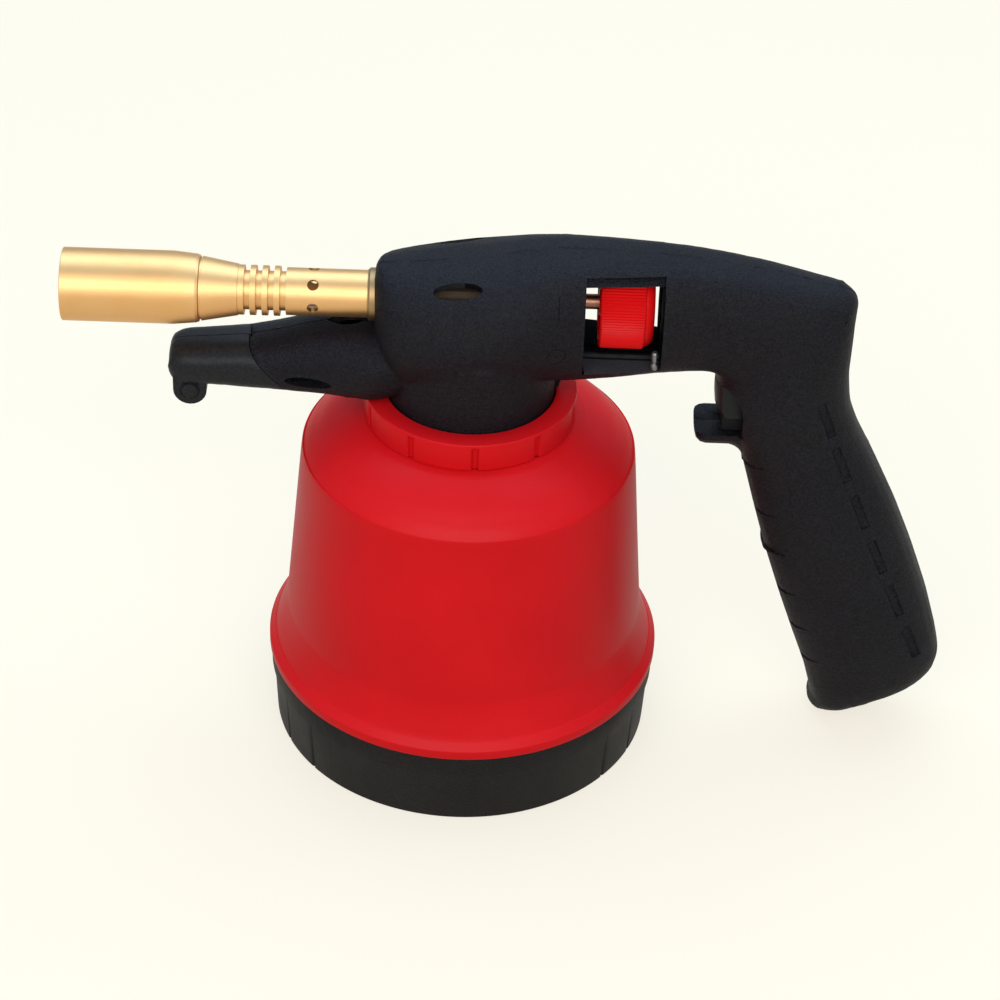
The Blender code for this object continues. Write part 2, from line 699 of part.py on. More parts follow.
def burner_bore():
    """Round room for the burner tube, the valve barrel, the gland and the spindle."""
    front = -FRONT_REACH - OVERRUN
    collar_front = -FRONT_REACH + FLANGE_SLEEVE_LENGTH - GAP
    collar_rear = collar_front + FLANGE_COLLAR_LENGTH + 2 * GAP
    clear = GAP + BURNER_FLANGE_RADIUS
    collar = GAP + FLANGE_COLLAR_RADIUS
    barrel = GAP + BARREL_RADIUS
    spindle = GAP + SPINDLE_RADIUS
    wall = WINDOW_START - WINDOW_FRAME
    profile = [(0, WINDOW_START + GAP), (spindle, WINDOW_START + GAP), (spindle, wall), (barrel, wall),
               (barrel, -TUBE_START), (clear, -TUBE_START), (clear, collar_rear), (collar, collar_rear),
               (collar, collar_front), (clear, collar_front), (clear, front), (0, front)]
    return lay_along_x(turned("burner_bore", profile, STEPS))


def neck_bore():
    """Room in the neck for the valve's flange."""
    foot = SHELL_TOP_HEIGHT + BOSS_HEIGHT
    return rod("neck_bore", (0, 0, foot - OVERRUN), (0, 0, foot + NECK_BORE_HEIGHT), NECK_BORE_RADIUS, FINE_STEPS)


def arch_outline(inset, low):
    """The arch of the trigger's opening as (x, z) points, closed at a lower level."""
    arch = []
    for index in range(-SMALL_STEPS // 2, SMALL_STEPS // 2 + 1):
        turn = math.radians(180) * index / SMALL_STEPS
        reach = OPENING_FRONT if index < 0 else OPENING_DEPTH
        x = OPENING_MIDDLE + (reach - inset) * math.sin(turn)
        arch.append((x, OPENING_LEVEL + (OPENING_RISE - inset) * math.cos(turn)))
    return [(arch[0][0], low), *arch, (arch[-1][0], low)]


def trigger_opening():
    """The arched notch in the handle's front, down to the top of the finger rest."""
    front = REST_FRONT - OVERRUN
    outline = [(front, REST_TOP), (front, OPENING_LEVEL), *arch_outline(0, REST_TOP)[1:]]
    return prism("trigger_opening", outline, CASING_HALF_WIDTH)


def trigger_pocket():
    """The room behind the opening into which the trigger slides."""
    half = TRIGGER_HALF_WIDTH + GAP
    pocket = box("trigger_pocket", (OPENING_MIDDLE, -half, REST_TOP - GAP),
                 (TRIGGER_REAR + TRIGGER_TRAVEL + GAP, half, TRIGGER_TOP + GAP))
    return combine(pocket, inner_core("pocket_core", TRIGGER_WALL), "INTERSECT")


def inner_core(name, wall):
    """The casing's main form, smaller all round by a wall."""
    return loft(name, casing_rings(CASING_STATION_SHARES, wall, CASING_SIDES))


def piezo_seat():
    half = PIEZO_HALF_SIDE + GAP
    return box("piezo_seat", (PIEZO_START - OVERRUN, -half, PLUNGER_HEIGHT - half),
               (PIEZO_START + PIEZO_LENGTH + GAP, half, PLUNGER_HEIGHT + half))


def upper_vents():
    """An oval vent high on each flank, square to the flank there."""
    vents = []
    for side in (-1, 1):
        lean = math.radians(VENT_LEAN_DEGREES)
        axis = Vector((0, side * math.cos(lean), math.sin(lean)))
        across = axis.cross(Vector((1, 0, 0))) * VENT_HALF_WIDTH
        out, up = UPPER_VENT_SHARES
        middle = Vector((-VENT_HALF_LENGTH * 2 / 3, side * CASING_HALF_WIDTH * out, AXIS_HEIGHT * up))
        along = Vector((VENT_HALF_LENGTH, 0, 0))
        vents.append(oval_rod(f"upper_vent_{len(vents) + 1}", middle, along, across, axis, 2 * OVERRUN))
    return vents


def lower_vents():
    """A narrow oval vent straight through both sides of the nose."""
    forward, up = LOW_VENT_SHARES
    middle = Vector((-NOSE_LENGTH * forward, 0, AXIS_HEIGHT * up))
    along = Vector((VENT_HALF_LENGTH, 0, 0))
    across = Vector((0, 0, LOW_VENT_HALF_WIDTH))
    return oval_rod("lower_vent", middle, along, across, (0, -1, 0), 2 * (NOSE_HALF_WIDTH + OVERRUN))


def top_slot():
    """The air slot in the nose's back, under the burner tube."""
    forward, half_length = TOP_SLOT_SHARES
    middle = Vector((-FRONT_REACH * forward, 0, AXIS_HEIGHT - TUBE_RADIUS))
    along = Vector((FRONT_REACH * half_length, 0, 0))
    across = Vector((0, TUBE_RADIUS / 2, 0))
    return oval_rod("top_slot", middle, along, across, (0, 0, 1), 2 * CASING_WALL + OVERRUN)


def dash_places():
    """Middle and direction of each slot in the grip's side, down a line with one bend."""
    first = casing_point(*DASH_FIRST_SHARES)
    bend = casing_point(*DASH_BEND_SHARES)
    last = casing_point(*DASH_LAST_SHARES)
    pitch = (last - bend) / (DASH_COUNT - 2)
    places = [(first, (bend - first).normalized())]
    for index in range(DASH_COUNT - 1):
        places.append((bend + pitch * index, pitch.normalized()))
    return places


def dashes(side):
    """Slots along the rear of the grip, sunk to an even depth."""
    slots = []
    for number, (middle, direction) in enumerate(dash_places(), 1):
        across = direction.cross(Vector((0, 1, 0)))
        bm = bmesh.new()
        bmesh.ops.create_cube(bm, size=1)
        bmesh.ops.scale(bm, vec=(DASH_WIDTH, CASING_HALF_WIDTH, DASH_LENGTH), verts=bm.verts)
        turn = Matrix((across, Vector((0, 1, 0)), direction)).transposed().to_4x4()
        turn.translation = middle + Vector((0, side * CASING_HALF_WIDTH * DASH_SIDE_SHARE, 0))
        bmesh.ops.transform(bm, matrix=turn, verts=bm.verts)
        slots.append(cut(object_from_bmesh(f"dash_{number}_{side + 1}", bm), CORE))
    return slots


def cap_region(name, spread):
    """The side outline of the nose cap; spread moves its seam to the rear."""
    seam = [(x * NOSE_LENGTH + spread, z * AXIS_HEIGHT) for x, z in CAP_SEAM_SHARES]
    front = -NOSE_LENGTH - OVERRUN
    outline = [(front, seam[0][1]), *seam, (front, seam[-1][1] - LUG_RADIUS * 4)]
    return prism(name, outline, NOSE_HALF_WIDTH + OVERRUN)


def half_space(name, side):
    """All of one side of the parting plane, less half a gap."""
    near = side * GAP / 2
    far = side * (CASING_HALF_WIDTH + 2 * OVERRUN)
    return box(name, (-NOSE_LENGTH - 2 * OVERRUN, min(near, far), -OVERRUN),
               (HANDLE_REACH + 2 * OVERRUN, max(near, far), 2 * AXIS_HEIGHT))


def screw_room(name, x, z, side, seat=SCREW_SEAT, flank=CASING_HALF_WIDTH):
    """A blind pilot hole in the left half, and a stepped hole with a head well in the right half."""
    if side < 0:
        return rod(name, (x, GAP, z), (x, -SCREW_REACH - GAP, z), SCREW_HOLE_RADIUS, SCREW_STEPS)
    shank = rod(name, (x, -GAP, z), (x, flank + OVERRUN, z), SCREW_HOLE_RADIUS, SCREW_STEPS)
    well = rod(name + "_well", (x, seat, z), (x, flank + OVERRUN, z), SCREW_WELL_RADIUS, SCREW_STEPS)
    return join(shank, well)


def casing_halves():
    both = baked("casing_both", FORM)
    bpy.context.scene.collection.objects.link(both)
    cut(both, trigger_opening(), trigger_pocket(), HOLLOW, piezo_seat(), window_cutter(), floor_slot(),
        burner_bore(), neck_bore(), wire_room(), *upper_vents(), lower_vents(), top_slot(),
        cap_region("cap_room", GAP))
    whole = finished_mesh(both)
    bpy.data.objects.remove(both)
    for name, side in (("casing_left", -1), ("casing_right", 1)):
        half = piece(bpy.data.objects.new(name, whole.copy()), "black_plastic")
        combine(half, half_space(name + "_side", side), "INTERSECT")
        for number, (x, z) in enumerate(screw_places(), 1):
            cut(half, screw_room(f"{name}_hole_{number}", x, z, side))
        cut(half, *dashes(side))
        shade(half)


def nose_caps():
    """The two halves of the cap on the nose's tip, held by one screw in the lug."""
    both = baked("cap_both", NOSE)
    bpy.context.scene.collection.objects.link(both)
    stations = NOSE_STATION_SHARES[NOSE_CAVITY_FIRST_STATION:]
    hollow = loft("cap_hollow", nose_rings(stations, CASING_WALL, CAVITY_SIDES))
    combine(both, cap_region("cap_outline", 0), "INTERSECT")
    cut(both, hollow)
    whole = finished_mesh(both)
    bpy.data.objects.remove(both)
    for name, side in (("nose_cap_left", -1), ("nose_cap_right", 1)):
        half = piece(bpy.data.objects.new(name, whole.copy()), "cap_plastic")
        combine(half, half_space(name + "_side", side), "INTERSECT")
        cut(half, lug_screw_room(name + "_hole", side))
        if side < 0:
            cut(half, dimple_ring())
        shade(half)


def lug_screw_room(name, side):
    if side < 0:
        return rod(name, (LUG_X, GAP, LUG_Z), (LUG_X, -LUG_HALF_THICKNESS * LUG_HOLE_SHARE, LUG_Z),
                   SCREW_HOLE_RADIUS)
    return screw_room(name, LUG_X, LUG_Z, side, LUG_HALF_THICKNESS / 2, LUG_HALF_THICKNESS)


def dimple_ring():
    """The fine ring round the boss on the lug's visible face."""
    face = -LUG_HALF_THICKNESS
    outer = BOSS_DIMPLE_RADIUS + BOSS_DIMPLE_RING
    profile = [(outer, face - OVERRUN), (outer, face + BOSS_DIMPLE_DEPTH),
               (BOSS_DIMPLE_RADIUS, face + BOSS_DIMPLE_DEPTH), (BOSS_DIMPLE_RADIUS, face - OVERRUN)]
    ring = turned("dimple_ring", [(radius, -depth) for radius, depth in profile], SMALL_STEPS, closed=True)
    ring.rotation_euler = (math.radians(90), 0, 0)
    ring.location = (LUG_X, 0, LUG_Z)
    return ring


def screw(name, x, z, seat, reach):
    """A pan head screw along Y, its head towards +Y."""
    head = seat + GAP
    crown = head + SCREW_HEAD_HEIGHT
    profile = [(0, crown), (SCREW_HEAD_RADIUS * SCREW_CROWN_SHARE, crown), (SCREW_HEAD_RADIUS, head),
               (SCREW_SHANK_RADIUS, head), (SCREW_SHANK_RADIUS, -reach), (0, -reach)]
    shape = piece(turned(name, profile, SCREW_STEPS), "steel")
    shape.rotation_euler = (math.radians(-90), 0, 0)
    shape.location = (x, 0, z)
    return shape


def screws():
    for number, (x, z) in enumerate(screw_places(), 1):
        screw(f"casing_screw_{number}", x, z, SCREW_SEAT, SCREW_REACH)
    screw("nose_cap_screw", LUG_X, LUG_Z, LUG_HALF_THICKNESS / 2, LUG_HALF_THICKNESS * LUG_HOLE_SHARE - GAP)


# The cartridge and what encloses it

def base_cup():
    """Screws into the shell from below and carries the cartridge on its floor."""
    top = FLARE_HEIGHT - GAP
    thread_top = FLARE_HEIGHT + THREAD_LENGTH
    inner = THREAD_RADIUS - CUP_WALL
    edge = CUP_EDGE_ROUND
    bulge = edge * CUP_EDGE_SHARE
    cup = turned("base_cup", [
        (0, CUP_FLOOR), (inner, CUP_FLOOR), (inner, thread_top), (THREAD_RADIUS, thread_top),
        (THREAD_RADIUS, top), (CUP_TOP_RADIUS, top), (CUP_BOTTOM_RADIUS, edge),
        (CUP_BOTTOM_RADIUS - bulge, bulge), (CUP_BOTTOM_RADIUS - edge, 0), (0, 0)], FINE_STEPS)
    piece(cup, "black_plastic")
    for number, degrees in enumerate(GRIP_GROOVE_DEGREES, 1):
        turn = math.radians(degrees)
        foot = CUP_BOTTOM_RADIUS + GRIP_GROOVE_RADIUS / 3
        head = CUP_TOP_RADIUS + GRIP_GROOVE_RADIUS / 3
        start = (foot * math.sin(turn), -foot * math.cos(turn), -OVERRUN)
        end = (head * math.sin(turn), -head * math.cos(turn), top * GRIP_GROOVE_SHARE)
        cut(cup, rod(f"grip_groove_{number}", start, end, GRIP_GROOVE_RADIUS, GRIP_GROOVE_SIDES))
    return cup


def gas_cartridge():
    """A pierced steel can: side, domed top and hollow foot, open through the hole at the top."""
    foot = CUP_FLOOR + GAP
    top = foot + CARTRIDGE_HEIGHT
    radius = CARTRIDGE_RADIUS
    dome = CARTRIDGE_DOME_RADIUS
    sheet = CARTRIDGE_SHEET
    outer_shares = ((0.40, 0.981), (0.68, 0.927), (0.88, 0.835), (0.98, 0.720), (1.0, 0.600))
    outer = [(x * radius, foot + z * CARTRIDGE_HEIGHT) for x, z in outer_shares]
    inner = [(r - sheet, z - sheet) for r, z in reversed(outer)]
    rim = CARTRIDGE_RIM
    profile = [(0, foot + rim + sheet), (radius - 2 * rim, foot + rim + sheet), (radius - rim, foot + sheet),
               (radius - rim / 2 - sheet, foot + sheet), (radius - sheet, foot + rim), *inner,
               (dome, top - sheet), (PIERCED_HOLE_RADIUS, top - sheet), (PIERCED_HOLE_RADIUS, top),
               (dome, top), *outer, (radius, foot + rim), (radius - rim / 2, foot),
               (radius - rim, foot), (radius - 2 * rim, foot + rim), (0, foot + rim)]
    can = turned("gas_cartridge", profile, STEPS)
    return piece(can, "cartridge_steel")


def shell_outer():
    lip = FLARE_HEIGHT + LIP_HEIGHT
    foot = FLARE_HEIGHT + SHELL_FOOT_RISE
    flare = FLARE_RADIUS - LIP_STEP - SHELL_FOOT_RADIUS
    rise = SHELL_FOOT_RISE - LIP_HEIGHT - LIP_STEP
    flare_shares = ((0.0, 1.0), (0.25, 0.62), (0.5, 0.32), (0.75, 0.09))
    curve = [(SHELL_FOOT_RADIUS + across * flare, lip + LIP_STEP + up * rise) for up, across in flare_shares]
    shoulder_shares = ((0.37, 0.16), (0.70, 0.53))
    inset = SHELL_SHOULDER_RADIUS - SHOULDER_ROUND_RADIUS
    shoulder = [(SHELL_SHOULDER_RADIUS - across * inset, SHELL_SHOULDER_HEIGHT + up * SHOULDER_ROUND_RISE)
                for up, across in shoulder_shares]
    boss_top = SHELL_TOP_HEIGHT + BOSS_HEIGHT
    return [(BOSS_BORE_RADIUS, boss_top), (BOSS_RADIUS, boss_top), (BOSS_RADIUS, SHELL_TOP_HEIGHT),
            (RING_RADIUS, SHELL_TOP_HEIGHT),
            (SHOULDER_ROUND_RADIUS, SHELL_SHOULDER_HEIGHT + SHOULDER_ROUND_RISE), *reversed(shoulder),
            (SHELL_SHOULDER_RADIUS, SHELL_SHOULDER_HEIGHT), (SHELL_FOOT_RADIUS, foot), *reversed(curve),
            (FLARE_RADIUS, lip), (FLARE_RADIUS, FLARE_HEIGHT)]


def housing_shell():
    """The red shell: its foot takes the cup's thread and its top boss takes the union nut."""
    thread = THREAD_RADIUS + GAP
    thread_top = FLARE_HEIGHT + THREAD_LENGTH + GAP * 2
    wall = SHELL_WALL
    foot_inner = SHELL_FOOT_RADIUS - wall
    inner = [(thread, FLARE_HEIGHT), (thread, thread_top), (foot_inner, thread_top),
             (foot_inner, FLARE_HEIGHT + SHELL_FOOT_RISE),
             (SHELL_SHOULDER_RADIUS - wall, SHELL_SHOULDER_HEIGHT - wall / 2),
             (SHOULDER_ROUND_RADIUS - wall, SHELL_SHOULDER_HEIGHT + SHOULDER_ROUND_RISE - wall),
             (BOSS_BORE_RADIUS, SHELL_TOP_HEIGHT - wall / 2)]
    shell = turned("housing_shell", [*shell_outer(), *inner], FINE_STEPS, closed=True)
    return piece(shell, "red_plastic")


def collar_ring():
    """The notched union nut that clamps the neck's flange on the shell's boss."""
    foot = SHELL_TOP_HEIGHT + GAP
    top = foot + RING_HEIGHT
    bore = NECK_RADIUS + GAP
    thread = BOSS_RADIUS + GAP
    edge = RING_LIP / 4
    nut = turned("collar_ring", [
        (bore, top), (RING_RADIUS - edge, top), (RING_RADIUS, top - edge), (RING_RADIUS, foot), (thread, foot),
        (thread, top - RING_LIP), (bore, top - RING_LIP)], FINE_STEPS, closed=True)
    piece(nut, "red_plastic")
    for number in range(RING_NOTCHES):
        notch = box(f"notch_{number + 1}", (-NOTCH_WIDTH / 2, -RING_RADIUS - OVERRUN, foot - OVERRUN),
                    (NOTCH_WIDTH / 2, -RING_RADIUS + NOTCH_DEPTH, top - edge))
        notch.rotation_euler = (0, 0, math.tau * (number + NOTCH_TURN_SHARE) / RING_NOTCHES)
        cut(nut, notch)
    return nut


# The valve and the way of the gas

def valve_levels():
    foot = SHELL_TOP_HEIGHT + BOSS_HEIGHT + GAP
    seal_top = CUP_FLOOR + GAP + CARTRIDGE_HEIGHT + GAP + SEAL_THICKNESS
    return foot, seal_top


def valve_body():
    """The brass body: stem up from the cartridge, barrel along the burner's axis."""
    foot, seal_top = valve_levels()
    flange = foot + VALVE_FLANGE_THICKNESS
    flange_radius = NECK_BORE_RADIUS - GAP
    stem_foot = seal_top + GAP
    stem_top = AXIS_HEIGHT + BARREL_RADIUS / 3
    needle_socket = NEEDLE_RADIUS + GAP
    socket_top = stem_foot + NEEDLE_LENGTH
    body = turned("valve_body", [
        (0, stem_top), (STEM_RADIUS, stem_top), (STEM_RADIUS, flange), (flange_radius, flange),
        (flange_radius, foot), (STEM_RADIUS, foot), (STEM_RADIUS, stem_foot), (needle_socket, stem_foot),
        (needle_socket, socket_top), (0, socket_top)], STEPS)
    piece(body, "brass")
    body.rotation_euler = (0, 0, math.pi / STEPS / 2)
    barrel_front = -TUBE_START + GAP
    jet_seat = JET_RADIUS + GAP
    spigot = -TUBE_START - SPIGOT_LENGTH
    barrel = lay_along_x(turned("barrel", [
        (0, BARREL_REAR), (BARREL_RADIUS, BARREL_REAR), (BARREL_RADIUS, barrel_front),
        (SPIGOT_RADIUS, barrel_front), (SPIGOT_RADIUS, spigot), (0, spigot)], STEPS))
    join(body, barrel)
    rear = BARREL_REAR + OVERRUN
    seal_floor = BARREL_REAR - BARREL_RADIUS
    ring_bore = RING_SEAL_RADIUS + GAP
    spindle_bore = SPINDLE_RADIUS + GAP
    seat = BARREL_RADIUS / 2
    jet_end = spigot + JET_LENGTH / 2
    bore = lay_along_x(turned("barrel_bore", [
        (0, rear), (ring_bore, rear), (ring_bore, seal_floor), (spindle_bore, seal_floor), (spindle_bore, seat),
        (SPINDLE_TIP_RADIUS, seat), (SPINDLE_TIP_RADIUS, jet_end), (jet_seat, jet_end),
        (jet_seat, spigot - OVERRUN), (0, spigot - OVERRUN)], SMALL_STEPS))
    rising_way = rod("rising_way", (0, 0, socket_top - GAP), (BARREL_RADIUS, 0, AXIS_HEIGHT),
                     SPINDLE_TIP_RADIUS, SCREW_STEPS)
    side = INSULATOR_RADIUS + GAP
    way_top = AXIS_HEIGHT - ELECTRODE_DROP + INSULATOR_RADIUS + GAP / 3
    insulator_way = box("insulator_way", (spigot - OVERRUN, -side, AXIS_HEIGHT - 2 * BARREL_RADIUS),
                        (-STEM_RADIUS - WIRE_RADIUS, side, way_top))
    cut(body, bore, rising_way, insulator_way)
    shade(body)
    return body


def piercing_needle():
    """The hollow needle that opens the cartridge."""
    _, seal_top = valve_levels()
    top = seal_top + GAP + NEEDLE_LENGTH - GAP
    tip = CUP_FLOOR + CARTRIDGE_HEIGHT - NEEDLE_LENGTH / 2
    bore = NEEDLE_RADIUS / 3
    needle = turned("piercing_needle", [
        (bore, top), (NEEDLE_RADIUS, top), (NEEDLE_RADIUS, tip + NEEDLE_LENGTH / 3), (bore, tip)],
        SMALL_STEPS, closed=True)
    return piece(needle, "steel")


def cartridge_seal():
    """The rubber washer between the cartridge and the valve's stem."""
    _, seal_top = valve_levels()
    inner = PIERCED_HOLE_RADIUS + GAP
    washer = turned("cartridge_seal", [(inner, seal_top), (SEAL_RADIUS, seal_top),
                                       (SEAL_RADIUS, seal_top - SEAL_THICKNESS),
                                       (inner, seal_top - SEAL_THICKNESS)], STEPS, closed=True)
    return piece(washer, "rubber")


def jet_nozzle():
    """The jet that blows the gas into the mixing tube."""
    front = -TUBE_START - SPIGOT_LENGTH - JET_LENGTH / 2
    rear = front + JET_LENGTH - GAP
    jet = lay_along_x(turned("jet_nozzle", [
        (JET_RADIUS, rear), (JET_RADIUS, front + JET_RADIUS), (JET_RADIUS / 2, front),
        (JET_BORE_RADIUS, front), (JET_BORE_RADIUS, rear)], SMALL_STEPS, closed=True))
    return piece(jet, "brass")


def packing_nut():
    """The gland nut that holds the spindle's seal in the barrel."""
    bore = SPINDLE_RADIUS + GAP
    start = BARREL_REAR + GAP
    nut = rod("packing_nut", (start, 0, AXIS_HEIGHT), (GLAND_END, 0, AXIS_HEIGHT), GLAND_RADIUS, 6)
    piece(nut, "brass")
    hole = rod("gland_hole", (start - OVERRUN, 0, AXIS_HEIGHT), (GLAND_END + OVERRUN, 0, AXIS_HEIGHT), bore)
    return cut(nut, hole)


def valve_spindle():
    """The brass needle spindle, turned by the knob."""
    tip = BARREL_RADIUS / 2 + GAP
    end = KNOB_START + KNOB_SOCKET_DEPTH - GAP
    groove = BARREL_REAR - RING_SEAL_RADIUS
    ring = RING_SEAL_WIRE + GAP
    waist = RING_SEAL_RADIUS - 2 * RING_SEAL_WIRE - GAP
    spindle = lay_along_x(turned("valve_spindle", [
        (0, end), (SPINDLE_RADIUS, end), (SPINDLE_RADIUS, groove + ring), (waist, groove + ring),
        (waist, groove - ring), (SPINDLE_RADIUS, groove - ring), (SPINDLE_RADIUS, tip + SPINDLE_TIP),
        (SPINDLE_TIP_RADIUS, tip), (0, tip)], SMALL_STEPS))
    return piece(spindle, "brass")


def spindle_seal():
    """The rubber ring in the spindle's groove."""
    bpy.ops.mesh.primitive_torus_add(
        major_radius=RING_SEAL_RADIUS - RING_SEAL_WIRE, minor_radius=RING_SEAL_WIRE, major_segments=16,
        minor_segments=6, location=(BARREL_REAR - RING_SEAL_RADIUS, 0, AXIS_HEIGHT),
        rotation=(0, math.radians(90), 0))
    ring = bpy.context.object
    ring.name = "spindle_seal"
    for collection in list(ring.users_collection):
        collection.objects.unlink(ring)
    return piece(ring, "rubber")


def control_knob():
    """The red ribbed knob: ribs along its rim, a plain tapered end and a socket for the spindle."""
    rings = []
    levels = ((KNOB_START, KNOB_RADIUS - KNOB_RIB_DEPTH), (KNOB_START + KNOB_RIB_DEPTH, KNOB_RADIUS),
              (KNOB_START + KNOB_RIB_LENGTH, KNOB_RADIUS))
    for x, radius in levels:
        ring = []
        for index in range(2 * KNOB_RIBS):
            turn = math.tau * index / (2 * KNOB_RIBS)
            reach = radius - KNOB_RIB_DEPTH * (index % 2)
            ring.append(Vector((x, reach * math.sin(turn), AXIS_HEIGHT + reach * math.cos(turn))))
        rings.append(ring)
    knob = loft("control_knob", rings)
    plain = lay_along_x(turned("knob_end", [
        (0, KNOB_START + KNOB_LENGTH), (KNOB_END_RADIUS, KNOB_START + KNOB_LENGTH),
        (KNOB_RADIUS - 2 * KNOB_RIB_DEPTH, KNOB_START + KNOB_RIB_LENGTH + KNOB_RIB_DEPTH),
        (KNOB_RADIUS - 2 * KNOB_RIB_DEPTH, KNOB_START + KNOB_RIB_LENGTH - KNOB_RIB_DEPTH),
        (0, KNOB_START + KNOB_RIB_LENGTH - KNOB_RIB_DEPTH)], STEPS))
    socket = rod("knob_socket", (KNOB_START - OVERRUN, 0, AXIS_HEIGHT),
                 (KNOB_START + KNOB_SOCKET_DEPTH, 0, AXIS_HEIGHT), SPINDLE_RADIUS + GAP)
    return cut(join(piece(knob, "knob_plastic"), plain), socket)


# The burner

def burner_flange():
    """The brass bush round the tube, caught in the casing's front wall by its collar."""
    front = -FRONT_REACH - BURNER_FLANGE_LENGTH
    shoulder = -FRONT_REACH + FLANGE_SLEEVE_LENGTH
    rear = shoulder + FLANGE_COLLAR_LENGTH
    bore = TUBE_RADIUS + GAP
    edge = BURNER_FLANGE_LENGTH / 4
    collar = lay_along_x(turned("burner_flange", [
        (bore, rear), (FLANGE_COLLAR_RADIUS, rear), (FLANGE_COLLAR_RADIUS, shoulder),
        (BURNER_FLANGE_RADIUS, shoulder), (BURNER_FLANGE_RADIUS, front + edge),
        (BURNER_FLANGE_RADIUS - edge, front), (bore, front)], STEPS, closed=True))
    return piece(collar, "brass")


def burner_tube():
    """Mixing tube turned in one piece: air holes, cooling fins and the cone that carries the head."""
    fins = []
    for index in range(FIN_COUNT):
        start = FIN_START + index * FIN_PITCH
        fins += [(FIN_GROOVE_RADIUS, -start), (FIN_GROOVE_RADIUS, -start - FIN_PITCH / 2),
                 (FIN_RADIUS, -start - FIN_PITCH / 2), (FIN_RADIUS, -start - FIN_PITCH)]
    spigot = HEAD_RADIUS - HEAD_WALL - GAP
    joint_end = HEAD_JOINT + HEAD_CONE_LENGTH
    outer = [(TUBE_RADIUS, -TUBE_START), (TUBE_RADIUS, -FIN_START), *fins,
             (CONE_SMALL_RADIUS, -CONE_START), (CONE_LARGE_RADIUS, -HEAD_JOINT),
             (spigot - HEAD_WALL, -HEAD_JOINT), (spigot - HEAD_WALL, -joint_end)]
    throat_end = FIN_START + FIN_COUNT * FIN_PITCH
    inner = [(spigot - 2 * HEAD_WALL, -joint_end), (VENTURI_RADIUS, -throat_end), (VENTURI_RADIUS, -FIN_START),
             (TUBE_BORE_RADIUS, -AIR_HOLE_PLACE - AIR_HOLE_RADIUS - GAP), (TUBE_BORE_RADIUS, -TUBE_START)]
    tube = piece(lay_along_x(turned("burner_tube", [*outer, *inner], STEPS, closed=True)), "brass")
    for number in range(AIR_HOLE_PAIRS):
        turn = math.radians(AIR_HOLE_TURN + number * 180 / AIR_HOLE_PAIRS)
        reach = Vector((0, -math.cos(turn), math.sin(turn))) * (TUBE_RADIUS + OVERRUN)
        middle = Vector((-AIR_HOLE_PLACE, 0, AXIS_HEIGHT))
        cut(tube, rod(f"air_hole_{number + 1}", middle - reach, middle + reach, AIR_HOLE_RADIUS))
    shade(tube)
    return tube


def burner_head():
    """The wide flame tube, pressed on the mixing tube's spigot."""
    start = HEAD_JOINT + HEAD_JOINT_GROOVE
    cone = start + HEAD_CONE_LENGTH
    seat = HEAD_RADIUS - 2 * HEAD_WALL
    bore = HEAD_RADIUS - HEAD_WALL
    edge = HEAD_WALL / 3
    head = lay_along_x(turned("burner_head", [
        (seat, -start), (CONE_LARGE_RADIUS + edge, -start), (HEAD_RADIUS, -cone),
        (HEAD_RADIUS, -BURNER_REACH + edge), (HEAD_RADIUS - edge, -BURNER_REACH),
        (bore, -BURNER_REACH), (bore, -cone - HEAD_WALL), (seat, -cone)], STEPS, closed=True))
    return piece(head, "brass")


def flame_holder():
    """The drilled disc that the flame sits on."""
    radius = HEAD_RADIUS - HEAD_WALL - GAP
    front = -HOLDER_PLACE - HOLDER_THICKNESS
    disc = rod("flame_holder", (-HOLDER_PLACE, 0, AXIS_HEIGHT), (front, 0, AXIS_HEIGHT), radius, STEPS)
    piece(disc, "brass")
    ring = radius * HOLDER_RING_SHARE
    for number in range(HOLDER_HOLES):
        turn = math.tau * number / HOLDER_HOLES
        y = ring * math.sin(turn)
        z = AXIS_HEIGHT + ring * math.cos(turn)
        hole = rod(f"flame_hole_{number + 1}", (-HOLDER_PLACE + OVERRUN, y, z), (front - OVERRUN, y, z),
                   HOLDER_HOLE_RADIUS)
        cut(disc, hole)
    height = AXIS_HEIGHT - ELECTRODE_DROP * HOLDER_WAY_SHARE
    way = rod("electrode_hole", (-HOLDER_PLACE + OVERRUN, 0, height), (front - OVERRUN, 0, height),
              ELECTRODE_DROP / 2)
    return cut(disc, way)


def electrode():
    """The spark wire inside the tube, in its ceramic sleeve up to the throat."""
    height = AXIS_HEIGHT - ELECTRODE_DROP
    rear = -STEM_RADIUS - 2 * WIRE_RADIUS
    rise = ELECTRODE_DROP * ELECTRODE_RISE_SHARE
    points = [(rear, 0, height), (-INSULATOR_END, 0, height), (-INSULATOR_END * ELECTRODE_BEND_SHARE, 0, height),
              (-HOLDER_PLACE + HOLDER_THICKNESS, 0, height + rise),
              (-HOLDER_PLACE - 2 * HOLDER_THICKNESS, 0, height + rise)]
    piece(wire_object("electrode", points, ELECTRODE_RADIUS), "steel")
    sleeve_rear = rear - WIRE_RADIUS
    sleeve = rod("electrode_insulator", (sleeve_rear, 0, height), (-INSULATOR_END, 0, height), INSULATOR_RADIUS)
    bore = rod("sleeve_bore", (sleeve_rear + OVERRUN, 0, height), (-INSULATOR_END - OVERRUN, 0, height),
               ELECTRODE_RADIUS + GAP / 2, SCREW_STEPS)
    return cut(piece(sleeve, "ceramic"), bore)


# The igniter and its trigger

def wire_object(name, points, radius):
    """A round wire along a route, with closed ends."""
    curve = bpy.data.curves.new(name, "CURVE")
    curve.dimensions = "3D"
    curve.bevel_depth = radius
    curve.bevel_resolution = 1
    curve.use_fill_caps = True
    spline = curve.splines.new("POLY")
    spline.points.add(len(points) - 1)
    for point, place in zip(spline.points, points):
        point.co = (*place, 1)
    route = bpy.data.objects.new(name + "_route", curve)
    return welded(name, route)


